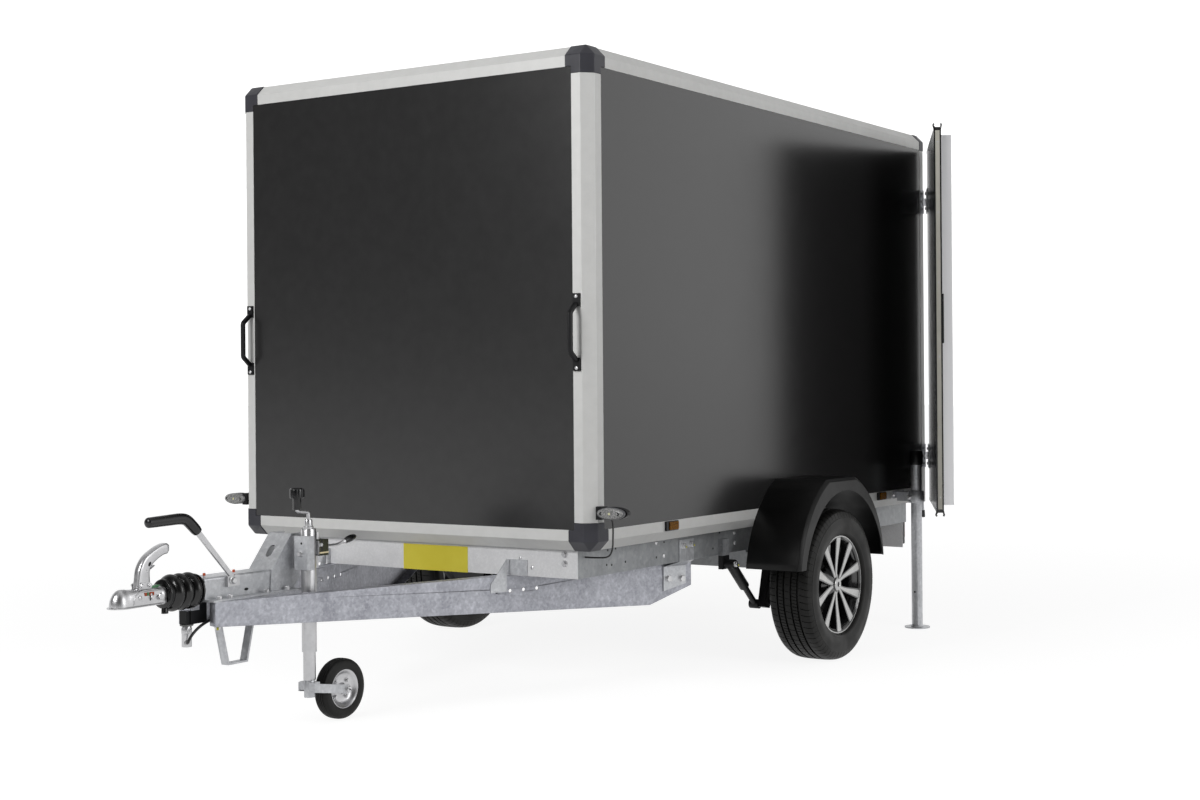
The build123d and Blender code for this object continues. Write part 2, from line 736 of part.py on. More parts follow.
bracket_near = beam_length - BRACKET_FROM_END
bracket_far = bracket_near + BRACKET_LENGTH
with BuildPart() as drawbar_brackets:
    for side in SIDES:
        # Stepped bracket from the side member's web down to the beam's rear end
        near = along_beam(side, bracket_near, 0).Y - front
        far = along_beam(side, bracket_far, 0).Y - front
        block(
            (side * member_half, near, CHASSIS_BOTTOM),
            (side * (member_half + BRACKET_GAUGE), far, CHASSIS_BOTTOM + BRACKET_RISE),
        )
        with BuildSketch(Plane.XY.offset(CHASSIS_BOTTOM)) as upper:
            Polygon(
                at(side * member_half, near, 0)[:2],
                at(side * (member_half + BRACKET_GAUGE), near, 0)[:2],
                at(side * (member_half + BRACKET_GAUGE), far, 0)[:2],
                at(side * member_half, far, 0)[:2],
                align=None,
            )
        foot = [
            along_beam(side, bracket_near, 0),
            along_beam(side, bracket_near, 0, BRACKET_GAUGE),
            along_beam(side, bracket_far, 0, BRACKET_GAUGE),
            along_beam(side, bracket_far, 0),
        ]
        with BuildSketch(Plane.XY.offset(CHASSIS_BOTTOM - BRACKET_STEP)) as lower:
            Polygon(*[(p.X, p.Y) for p in foot], align=None)
        loft([lower.sketch.face(), upper.sketch.face()])
        with BuildSketch(beam_plane(side)):
            Polygon(
                (bracket_near, CHASSIS_BOTTOM - BRACKET_DROP),
                (bracket_far, CHASSIS_BOTTOM - BRACKET_DROP + BRACKET_STEP),
                (bracket_far, CHASSIS_BOTTOM - BRACKET_STEP),
                (bracket_near, CHASSIS_BOTTOM - BRACKET_STEP),
                align=None,
            )
        extrude(amount=side * BRACKET_GAUGE)
        # Three-cornered bracket from the beam to the front sheet
        heel = sheet_crossing - SHEET_BRACKET_LENGTH - SHEET_BRACKET_LAP
        with BuildSketch(beam_plane(side)):
            Polygon(
                (heel, CHASSIS_BOTTOM - SHEET_BRACKET_FOOT),
                (heel + SHEET_BRACKET_LENGTH, CHASSIS_BOTTOM - SHEET_BRACKET_FOOT),
                (heel + SHEET_BRACKET_LENGTH, CHASSIS_BOTTOM),
                (sheet_crossing - SHEET_GAUGE, CHASSIS_BOTTOM + SHEET_BRACKET_FOOT),
                (sheet_crossing - SHEET_BRACKET_LIP, CHASSIS_BOTTOM + SHEET_BRACKET_FOOT),
                (heel, CHASSIS_BOTTOM - SHEET_BRACKET_FOOT / 2),
                align=None,
            )
        extrude(amount=side * SHEET_GAUGE)
        plate_near = SHEET_SETBACK - SHEET_GAUGE
        block(
            (side * (sheet_crossing_x - SHEET_BRACKET_LIP), plate_near, CHASSIS_BOTTOM + SHEET_GAUGE),
            (
                side * (sheet_crossing_x + SHEET_BRACKET_PLATE),
                SHEET_SETBACK,
                CHASSIS_BOTTOM + SHEET_BRACKET_FOOT,
            ),
        )
    # Strap hanging below the housing, which steadies the brake rod
    with BuildSketch(Plane.YZ.offset(-STRAP_WIDTH / 2)):
        strap_low = CHASSIS_BOTTOM - STRAP_DROP
        strap_mid = -STRAP_PLACE
        Polygon(
            at(0, strap_mid - STRAP_SPREAD, CHASSIS_BOTTOM)[1:],
            at(0, strap_mid - STRAP_FOOT, strap_low)[1:],
            at(0, strap_mid + STRAP_FOOT, strap_low)[1:],
            at(0, strap_mid + STRAP_SPREAD, CHASSIS_BOTTOM)[1:],
            at(0, strap_mid + STRAP_SPREAD - STRAP_GAUGE, CHASSIS_BOTTOM)[1:],
            at(0, strap_mid + STRAP_FOOT - STRAP_GAUGE, strap_low + STRAP_GAUGE)[1:],
            at(0, strap_mid - STRAP_FOOT + STRAP_GAUGE, strap_low + STRAP_GAUGE)[1:],
            at(0, strap_mid - STRAP_SPREAD + STRAP_GAUGE, CHASSIS_BOTTOM)[1:],
            align=None,
        )
    extrude(amount=STRAP_WIDTH)
save(drawbar_brackets, "drawbar_brackets")

# ---- overrun device and coupling ----

plate_top = CHASSIS_BOTTOM + HOUSING_PLATE
jockey_inner = JOCKEY_TUBE_RADIUS - JOCKEY_TUBE_WALL
clamp_rear = -JOCKEY + CLAMP_BEHIND
clamp_front = -JOCKEY - CLAMP_AHEAD
gusset_top = housing_top + GUSSET_HEIGHT
gusset_foot = -HOUSING_REAR - GUSSET_FOOT
gusset_head = -HOUSING_REAR - GUSSET_HEAD
with BuildPart() as overrun_housing:
    block(
        (-HOUSING_PLATE_HALF_WIDTH, -HOUSING_FRONT, CHASSIS_BOTTOM),
        (HOUSING_PLATE_HALF_WIDTH, -HOUSING_REAR, plate_top),
    )
    block(
        (-HOUSING_HALF_WIDTH, -HOUSING_FRONT, plate_top),
        (HOUSING_HALF_WIDTH, -HOUSING_REAR, housing_top),
    )
    upper_edges = overrun_housing.edges().filter_by(Axis.Y).group_by(Axis.Z)[-1]
    fillet(upper_edges, HOUSING_ROUNDING)
    for side in SIDES:
        with BuildSketch(Plane.YZ.offset(side * HOUSING_HALF_WIDTH)):
            Polygon(
                at(0, gusset_foot - GUSSET_TOE, plate_top)[1:],
                at(0, gusset_foot, housing_top)[1:],
                at(0, gusset_head, gusset_top)[1:],
                at(0, clamp_rear, gusset_top)[1:],
                at(0, clamp_rear, housing_top)[1:],
                at(0, -HOUSING_REAR, plate_top)[1:],
                align=None,
            )
        extrude(amount=side * BRACKET_GAUGE)
    with BuildSketch(Plane.YZ.offset(-HOUSING_HALF_WIDTH)):
        Polygon(
            at(0, gusset_foot, housing_top)[1:],
            at(0, gusset_head, gusset_top)[1:],
            at(0, gusset_head + GUSSET_PLATE, gusset_top)[1:],
            at(0, gusset_foot + GUSSET_PLATE, housing_top)[1:],
            align=None,
        )
    extrude(amount=2 * HOUSING_HALF_WIDTH)
    # Slotted hole through the inclined plate
    slope = Vector(0, gusset_head - gusset_foot, gusset_top - housing_top)
    plate_middle = Vector(*at(0, (gusset_foot + gusset_head) / 2, (housing_top + gusset_top) / 2))
    with BuildSketch(Plane(origin=plate_middle, x_dir=slope, z_dir=slope.cross(Vector(1, 0, 0)))):
        SlotOverall(*GUSSET_HOLE)
    extrude(amount=3 * BRACKET_GAUGE, both=True, mode=Mode.SUBTRACT)
save(overrun_housing, "overrun_housing")

ring = (BELLOWS_FRONT - BELLOWS_COLLAR - HOUSING_FRONT) / BELLOWS_RINGS
valley = BELLOWS_RADIUS - BELLOWS_VALLEY
bellows_end = at(0, -BELLOWS_FRONT, shaft_height)
with BuildPart() as bellows:
    with BuildSketch(Plane(origin=bellows_end, x_dir=(0, 0, 1), z_dir=(1, 0, 0))):
        with BuildLine():
            rear_end = -BELLOWS_COLLAR - BELLOWS_RINGS * ring
            Polyline(
                (valley, -BELLOWS_COLLAR),
                (BELLOWS_COLLAR_RADIUS, -BELLOWS_COLLAR),
                (BELLOWS_COLLAR_RADIUS, 0),
                (SHAFT_RADIUS, 0),
                (SHAFT_RADIUS, rear_end),
                (valley, rear_end),
            )
            for number in range(BELLOWS_RINGS):
                start = -BELLOWS_COLLAR - number * ring
                crest = (BELLOWS_RADIUS, start - ring / 2)
                ThreePointArc((valley, start), crest, (valley, start - ring))
        make_face()
    revolve(axis=Axis(bellows_end, (0, 1, 0)))
save(bellows, "bellows")

head_rear = -BELLOWS_FRONT - HEAD_OVERLAP
skirt_low = cup_height - CUP_SKIRT
with BuildPart() as coupling_head:
    for grow, low, high in (
        (0, skirt_low, cup_height + HEAD_CROWN),
        (HEAD_FLANGE, skirt_low, skirt_low + HEAD_FLANGE_GAUGE),
    ):
        with BuildSketch(Plane.XY.offset(low)):
            with Locations(at(0, -cup_centre, 0)[:2]):
                Circle(cup_outer + grow)
            with Locations(at(0, head_rear - HEAD_NECK, 0)[:2]):
                Circle(HEAD_NECK + grow)
            make_hull()
        extrude(amount=high - low)
    crown_edges = coupling_head.edges().group_by(Axis.Z)[-1]
    fillet(crown_edges, HEAD_ROUNDING)
    with BuildSketch(Plane(origin=at(0, head_rear - HEAD_NECK, shaft_height), z_dir=(0, 1, 0))):
        Circle(SHAFT_RADIUS)
    extrude(amount=-head_rear + HEAD_NECK - HOUSING_FRONT)
    with Locations(at(0, -cup_centre, cup_height)):
        Sphere(BALL_RADIUS, mode=Mode.SUBTRACT)
    with BuildSketch(Plane.XY.offset(cup_height)):
        with Locations(at(0, -cup_centre, 0)[:2]):
            Circle(BALL_RADIUS)
    extrude(amount=-2 * CUP_SKIRT, mode=Mode.SUBTRACT)
save(coupling_head, "coupling_head")

crown = cup_height + HEAD_CROWN
with BuildPart() as coupling_handle:
    with BuildSketch(Plane.YZ.offset(-HANDLE_HALF_WIDTH)):
        Polygon(
            *[at(0, -cup_centre + behind, crown + rise)[1:] for behind, rise in HANDLE_OUTLINE],
            align=None,
        )
    extrude(amount=2 * HANDLE_HALF_WIDTH)
    long_edges = coupling_handle.edges().filter_by(Axis.X).group_by(Axis.Z)[-3:]
    fillet([edge for group in long_edges for edge in group], HANDLE_ROUNDING)
save(coupling_handle, "coupling_handle")

arm_top = housing_top + HANDBRAKE_ARM_RISE
with BuildPart() as handbrake:
    with BuildSketch(Plane.YZ.offset(HANDBRAKE_X - HANDBRAKE_GAUGE / 2)):
        Polygon(
            at(0, -HANDBRAKE_FOOT_REAR, housing_top - HANDBRAKE_FOOT_DROP)[1:],
            at(0, -HANDBRAKE_FOOT_FRONT, housing_top - 1)[1:],
            at(0, -HANDBRAKE_ARM_FRONT, arm_top)[1:],
            at(0, -HANDBRAKE_ARM_REAR, arm_top + HANDBRAKE_ARM_SLANT)[1:],
            align=None,
        )
    extrude(amount=HANDBRAKE_GAUGE)
    with BuildLine() as grip_line:
        FilletPolyline(
            at(HANDBRAKE_X, -GRIP_START, housing_top + GRIP_START_RISE),
            at(HANDBRAKE_X, -GRIP_KNUCKLE, housing_top + GRIP_KNUCKLE_RISE),
            at(HANDBRAKE_X, -GRIP_END, housing_top + GRIP_END_RISE),
            radius=HANDBRAKE_BEND,
        )
    with BuildSketch(Plane(origin=grip_line.line @ 0, z_dir=grip_line.line % 0)):
        Circle(HANDBRAKE_GRIP)
    sweep(path=grip_line.line)
    block(
        (HOUSING_HALF_WIDTH, -HANDBRAKE_PAD_FRONT, housing_top - HANDBRAKE_PAD_DROP),
        (HANDBRAKE_X + HANDBRAKE_GAUGE / 2, -HANDBRAKE_PAD_REAR, housing_top - 1),
    )
save(handbrake, "handbrake")

# ---- parked plug ----

holder_top = CHASSIS_BOTTOM - PLUG_BELLOWS_GAP
holder_low = holder_top - HOLDER_HEIGHT
plug_x = HOLDER_X - PLUG_RADIUS
plug_place = -HOLDER_PLACE
holder_rear = -HOUSING_FRONT + HOLDER_LAP
with BuildPart() as plug_holder:
    block(
        (HOLDER_X, plug_place, holder_low),
        (HOLDER_X + HOLDER_GAUGE, holder_rear, holder_top),
    )
    block(
        (HOLDER_X, -HOUSING_FRONT + HOLDER_GAUGE, holder_top),
        (HOLDER_X + HOLDER_GAUGE, holder_rear, CHASSIS_BOTTOM),
    )
    block(
        (HOLDER_X - 2 * PLUG_RADIUS, plug_place - PLUG_RADIUS, holder_low),
        (HOLDER_X, plug_place + PLUG_RADIUS / 2, holder_top),
    )
    with Locations(at(plug_x, plug_place, holder_low - HOLDER_GAUGE / 2)):
        Cylinder(PLUG_RADIUS + HOLDER_GAUGE, HOLDER_GAUGE)
save(plug_holder, "plug_holder")

plug_top = holder_low - HOLDER_GAUGE
outlet_angle = radians(PLUG_OUTLET_DEG)
outlet_way = Vector(cos(outlet_angle), -sin(outlet_angle), 0)
outlet_middle = Vector(*at(plug_x, plug_place, plug_top - PLUG_LENGTH + 2 * PLUG_OUTLET_RADIUS))
with BuildPart() as plug:
    with Locations(at(plug_x, plug_place, plug_top - PLUG_LENGTH / 2)):
        Cylinder(PLUG_RADIUS, PLUG_LENGTH)
    with BuildSketch(Plane(origin=outlet_middle, z_dir=outlet_way)):
        Circle(PLUG_OUTLET_RADIUS)
    extrude(amount=PLUG_OUTLET_REACH)
save(plug, "plug")

# ---- jockey wheel ----

with BuildPart() as jockey_tube:
    with BuildSketch(Plane.XY.offset(JOCKEY_TUBE_BOTTOM)):
        with Locations(at(jockey_x, -JOCKEY, 0)[:2]):
            Circle(JOCKEY_TUBE_RADIUS)
            Circle(jockey_inner + SLIDE_CLEARANCE, mode=Mode.SUBTRACT)
    extrude(amount=JOCKEY_TUBE_TOP - JOCKEY_TUBE_BOTTOM)
    # Clamp channel on the gusset, with the tube's bore kept clear
    block(
        (HOUSING_HALF_WIDTH + BRACKET_GAUGE, clamp_front, CLAMP_LOW),
        (jockey_x, clamp_rear, CLAMP_HIGH),
    )
    clamp_middle = (CLAMP_LOW + CLAMP_HIGH) / 2
    with Locations(at(jockey_x, -JOCKEY, clamp_middle)):
        Cylinder(jockey_inner + SLIDE_CLEARANCE, CLAMP_HIGH - CLAMP_LOW, mode=Mode.SUBTRACT)
    # Cap, crank and its grip
    with Locations(at(jockey_x, -JOCKEY, JOCKEY_TUBE_TOP + CRANK_RADIUS)):
        Cylinder(JOCKEY_TUBE_RADIUS, 2 * CRANK_RADIUS)
    crank_top = JOCKEY_TUBE_TOP + CRANK_RISE
    with BuildLine() as crank_line:
        FilletPolyline(
            at(jockey_x, -JOCKEY, JOCKEY_TUBE_TOP),
            at(jockey_x, -JOCKEY, crank_top),
            at(jockey_x, -JOCKEY - CRANK_THROW, crank_top + CRANK_STEP / 2),
            at(jockey_x, -JOCKEY - CRANK_THROW, crank_top + 2 * CRANK_STEP),
            radius=CRANK_RADIUS + 1,
        )
    with BuildSketch(Plane(origin=crank_line.line @ 0, z_dir=crank_line.line % 0)):
        Circle(CRANK_RADIUS)
    sweep(path=crank_line.line)
    grip_centre = crank_top + CRANK_STEP + CRANK_GRIP_LENGTH / 2
    with Locations(at(jockey_x, -JOCKEY - CRANK_THROW, grip_centre)):
        Cylinder(CRANK_GRIP_RADIUS, CRANK_GRIP_LENGTH)
    # Clamping screw's box and its lever with an oval grip
    lever_start = -JOCKEY + CLAMP_BOX_REACH
    box_near = -JOCKEY + jockey_inner + 3 * SLIDE_CLEARANCE
    half_box = CLAMP_BOX_HEIGHT / 2
    block(
        (jockey_x - JOCKEY_TUBE_RADIUS / 2, box_near, CLAMP_LEVER_HEIGHT - half_box),
        (jockey_x + JOCKEY_TUBE_RADIUS, lever_start, CLAMP_LEVER_HEIGHT + half_box),
    )
    with BuildLine() as lever_line:
        FilletPolyline(
            at(jockey_x, lever_start - CLAMP_LEVER_RADIUS, CLAMP_LEVER_HEIGHT),
            at(jockey_x, lever_start + CLAMP_LEVER_STRAIGHT, CLAMP_LEVER_HEIGHT),
            at(jockey_x, -JOCKEY + CLAMP_LEVER_END, CLAMP_LEVER_HEIGHT + CLAMP_LEVER_RISE),
            radius=4 * CLAMP_LEVER_RADIUS,
        )
    with BuildSketch(Plane(origin=lever_line.line @ 0, z_dir=lever_line.line % 0)):
        Circle(CLAMP_LEVER_RADIUS)
    sweep(path=lever_line.line)
    lever_way = lever_line.line % 1
    with BuildSketch(Plane(origin=lever_line.line @ 1, x_dir=lever_way, z_dir=(1, 0, 0))):
        with BuildLine():
            grip_near = -CLAMP_GRIP_RADIUS
            grip_far = CLAMP_GRIP_LENGTH - CLAMP_GRIP_RADIUS
            end_radius = CLAMP_LEVER_RADIUS + 1
            ThreePointArc(
                (grip_near, end_radius),
                ((grip_near + grip_far) / 2, CLAMP_GRIP_RADIUS),
                (grip_far, end_radius),
            )
            Polyline((grip_far, end_radius), (grip_far, 0), (grip_near, 0), (grip_near, end_radius))
        make_face()
    revolve(axis=Axis(lever_line.line @ 1, lever_way))
save(jockey_tube, "jockey_tube")

with BuildPart() as jockey_shaft:
    with BuildSketch(Plane.XY.offset(JOCKEY_SHAFT_BOTTOM)):
        with Locations(at(jockey_x, -JOCKEY, 0)[:2]):
            Circle(jockey_inner)
    extrude(amount=JOCKEY_SHAFT_TOP - JOCKEY_SHAFT_BOTTOM)
save(jockey_shaft, "jockey_shaft")

wheel_place = -JOCKEY + JOCKEY_TRAIL
fork_inner = JOCKEY_TYRE_WIDTH / 2 + FORK_GAP
half_fork = FORK_HEIGHT / 2
fork_root = JOCKEY_WHEEL_RADIUS + FORK_RISE
with BuildPart() as jockey_fork:
    with BuildSketch(Plane.XY.offset(JOCKEY_STEM_BOTTOM)):
        with Locations(at(jockey_x, -JOCKEY, 0)[:2]):
            Circle(JOCKEY_STEM_RADIUS)
    extrude(amount=JOCKEY_SHAFT_BOTTOM - SLIDE_CLEARANCE - JOCKEY_STEM_BOTTOM)
    for side in SIDES:
        with BuildSketch(Plane.YZ.offset(jockey_x + side * fork_inner)):
            Polygon(
                at(0, -JOCKEY - half_fork, fork_root - half_fork)[1:],
                at(0, wheel_place, JOCKEY_WHEEL_RADIUS - half_fork)[1:],
                at(0, wheel_place, JOCKEY_WHEEL_RADIUS + half_fork)[1:],
                at(0, -JOCKEY - half_fork, fork_root + half_fork)[1:],
                align=None,
            )
            with Locations(at(0, wheel_place, JOCKEY_WHEEL_RADIUS)[1:]):
                Circle(half_fork)
        extrude(amount=side * FORK_GAUGE)
        block(
            (jockey_x, -JOCKEY - half_fork, fork_root - half_fork + FORK_GAUGE),
            (jockey_x + side * fork_inner, -JOCKEY + half_fork, FORK_BRIDGE_TOP),
        )
    with Locations(at(jockey_x, wheel_place, JOCKEY_WHEEL_RADIUS)):
        Cylinder(JOCKEY_PIN_RADIUS, 2 * (fork_inner + FORK_GAUGE + FORK_GAP), rotation=(0, 90, 0))
save(jockey_fork, "jockey_fork")

with BuildPart() as jockey_wheel:
    with Locations(at(jockey_x, wheel_place, JOCKEY_WHEEL_RADIUS)):
        Cylinder(JOCKEY_WHEEL_RADIUS, JOCKEY_TYRE_WIDTH, rotation=(0, 90, 0))
    tyre_edges = jockey_wheel.edges().filter_by(GeomType.CIRCLE).sort_by(SortBy.RADIUS)[-2:]
    fillet(tyre_edges, JOCKEY_RIM_RECESS)
    for side in SIDES:
        face_middle = at(jockey_x + side * JOCKEY_TYRE_WIDTH / 2, wheel_place, JOCKEY_WHEEL_RADIUS)
        with BuildSketch(Plane(origin=face_middle, z_dir=(side, 0, 0))):
            Circle(JOCKEY_RIM_RADIUS)
            Circle(2 * JOCKEY_PIN_RADIUS, mode=Mode.SUBTRACT)
        extrude(amount=-JOCKEY_RIM_RECESS, mode=Mode.SUBTRACT)
    with Locations(at(jockey_x, wheel_place, JOCKEY_WHEEL_RADIUS)):
        Cylinder(
            JOCKEY_PIN_RADIUS + JOCKEY_PIN_CLEARANCE,
            JOCKEY_TYRE_WIDTH,
            rotation=(0, 90, 0),
            mode=Mode.SUBTRACT,
        )
save(jockey_wheel, "jockey_wheel")

# ---- axle ----

arm_inner = member_half + ARM_INSET
arm_outer = arm_inner + ARM_GAUGE
half_tube = AXLE_TUBE / 2
with BuildPart() as axle:
    block(
        (-arm_inner, axle_place - half_tube, axle_height - half_tube),
        (arm_inner, axle_place + half_tube, axle_height + half_tube),
    )
    bracket_inner = member_half - MEMBER_FLANGE
    bracket_foot = axle_height + half_tube - AXLE_LAP
    for side in SIDES:
        block(
            (side * bracket_inner, axle_place - AXLE_BRACKET / 2, bracket_foot),
            (side * member_half, axle_place + AXLE_BRACKET / 2, CHASSIS_BOTTOM),
        )
save(axle, "axle")

drum_centre = wheel_x - DRUM_INSET
drum_inner = drum_centre - DRUM_WIDTH / 2
with BuildPart() as trailing_arms:
    for side in SIDES:
        with BuildSketch(Plane.YZ.offset(side * arm_inner)):
            with Locations(at(0, axle_place, axle_height)[1:]):
                Circle(ARM_AXLE_BOSS)
            with Locations(at(0, WHEEL_PLACE, TYRE_RADIUS)[1:]):
                Circle(ARM_WHEEL_BOSS)
            make_hull()
            # Lever that carries the shock absorber's foot
            Polygon(
                at(0, axle_place - ARM_AXLE_BOSS, axle_height)[1:],
                at(0, axle_place - ARM_AXLE_BOSS - LEVER_LEAN, LEVER_FOOT + LEVER_STEP)[1:],
                at(0, axle_place - LEVER_LEAN, LEVER_FOOT)[1:],
                at(0, axle_place + ARM_AXLE_BOSS / 2, axle_height - ARM_AXLE_BOSS)[1:],
                align=None,
            )
        extrude(amount=side * ARM_GAUGE)
        stub_middle = (arm_outer + drum_inner) / 2
        with Locations(at(side * stub_middle, WHEEL_PLACE, TYRE_RADIUS)):
            Cylinder(STUB_RADIUS, drum_inner - arm_outer + 2 * STUB_LAP, rotation=(0, 90, 0))
        with Locations(at(side * drum_centre, WHEEL_PLACE, TYRE_RADIUS)):
            Cylinder(DRUM_RADIUS, DRUM_WIDTH, rotation=(0, 90, 0))
        spindle_inner = drum_centre + DRUM_WIDTH / 4
        spindle_outer = wheel_x + SPINDLE_REACH
        with Locations(at(side * (spindle_inner + spindle_outer) / 2, WHEEL_PLACE, TYRE_RADIUS)):
            Cylinder(SPINDLE_RADIUS, spindle_outer - spindle_inner, rotation=(0, 90, 0))
save(trailing_arms, "trailing_arms")

shock_x = member_half + SHOCK_OUT
shock_place = axle_place - SHOCK_AHEAD
bracket_low = CHASSIS_BOTTOM - SHOCK_DROP - SHOCK_RADIUS
with BuildPart() as shock_absorbers:
    for side in SIDES:
        top = Vector(*at(side * shock_x, shock_place, CHASSIS_BOTTOM - SHOCK_DROP))
        foot = Vector(*at(side * shock_x, axle_place - SHOCK_FOOT_AHEAD, SHOCK_FOOT))
        reach = foot - top
        with BuildSketch(Plane(origin=top, z_dir=reach)):
            Circle(SHOCK_RADIUS)
        extrude(amount=reach.length * SHOCK_BODY_SHARE)
        with BuildSketch(Plane(origin=top, z_dir=reach)):
            Circle(SHOCK_ROD_RADIUS)
        extrude(amount=reach.length)
        with Locations(top, foot):
            Cylinder(SHOCK_EYE_RADIUS, SHOCK_EYE_WIDTH, rotation=(0, 90, 0))
        block(
            (side * member_half, shock_place - SHOCK_BRACKET_HALF, bracket_low),
            (
                side * (shock_x - SHOCK_RADIUS),
                shock_place + SHOCK_BRACKET_HALF,
                CHASSIS_BOTTOM + SHOCK_BRACKET_RISE,
            ),
        )
save(shock_absorbers, "shock_absorbers")

with BuildPart() as brake_rod:
    rod_run = axle_place + BRAKE_YOKE
    with Locations(at(0, (axle_place - BRAKE_YOKE) / 2, BRAKE_ROD_HEIGHT)):
        Cylinder(BRAKE_ROD_RADIUS, rod_run, rotation=(90, 0, 0))
    yoke = 2 * BRAKE_ROD_RADIUS
    block(
        (-yoke, -BRAKE_YOKE - yoke, BRAKE_ROD_HEIGHT - yoke),
        (yoke, -BRAKE_YOKE + yoke, CHASSIS_BOTTOM),
    )
    block(
        (-2 * yoke, axle_place - 2 * yoke, BRAKE_ROD_HEIGHT - yoke),
        (2 * yoke, axle_place + 2 * yoke, axle_height - half_tube),
    )
save(brake_rod, "brake_rod")

# ---- mudguards ----

guard_x = half + MUDGUARD_WIDTH
guard_bottom = TYRE_RADIUS + MUDGUARD_BOTTOM_RISE
guard_top = 2 * TYRE_RADIUS + MUDGUARD_TOP_GAP
guard_front = WHEEL_PLACE - MUDGUARD_FRONT
guard_rear = WHEEL_PLACE + MUDGUARD_REAR
guard_height = guard_top - guard_bottom
# Where each shoulder's arc passes: shares of the guard's reach and of its height
front_reach = GUARD_SHOULDER_FRONT[0] * MUDGUARD_FRONT
front_rise = GUARD_SHOULDER_FRONT[1] * guard_height
rear_reach_back = GUARD_SHOULDER_REAR[0] * MUDGUARD_REAR
rear_rise = GUARD_SHOULDER_REAR[1] * guard_height
with BuildPart() as mudguards:
    for side in SIDES:
        for inset, depth, mode in (
            (0, 0, Mode.ADD),
            (MUDGUARD_GAUGE, MUDGUARD_LIP, Mode.SUBTRACT),
        ):
            low = guard_bottom - MUDGUARD_CHAMFER - 2 * inset
            corners = (
                at(0, guard_front + inset, low)[1:],
                at(0, WHEEL_PLACE - MUDGUARD_TOP_FRONT + inset / 2, guard_top - inset)[1:],
                at(0, WHEEL_PLACE + MUDGUARD_TOP_REAR - inset / 2, guard_top - inset)[1:],
                at(0, guard_rear - inset, low)[1:],
            )
            shoulders = (
                at(0, WHEEL_PLACE - front_reach + inset, guard_bottom + front_rise)[1:],
                at(0, WHEEL_PLACE + rear_reach_back - inset, guard_bottom + rear_rise)[1:],
            )
            straight = guard_x - half - depth - MUDGUARD_CHAMFER
            for start, length, taper in ((half, straight, 0), (half + straight, MUDGUARD_CHAMFER, 45)):
                with BuildSketch(Plane.YZ.offset(side * start)) as section:
                    with BuildLine():
                        ThreePointArc(corners[0], shoulders[0], corners[1])
                        Line(corners[1], corners[2])
                        ThreePointArc(corners[2], shoulders[1], corners[3])
                        Line(corners[3], corners[0])
                    make_face()
                extrude(section.sketch, amount=side * length, taper=taper, mode=mode)
        block(
            (side * (half - 1), guard_front - 1, guard_bottom - 3 * MUDGUARD_CHAMFER),
            (side * (guard_x + 1), guard_rear + 1, guard_bottom),
            mode=Mode.SUBTRACT,
        )
        with BuildSketch(Plane.YZ.offset(side * (guard_x - 2 * MUDGUARD_CHAMFER))) as arch:
            with Locations(at(0, WHEEL_PLACE - ARCH_AHEAD, TYRE_RADIUS)[1:]):
                Ellipse(ARCH_HALF_LENGTH, ARCH_HEIGHT)
        extrude(arch.sketch, amount=side * 3 * MUDGUARD_CHAMFER, mode=Mode.SUBTRACT)
save(mudguards, "mudguards")

# ---- road wheels ----

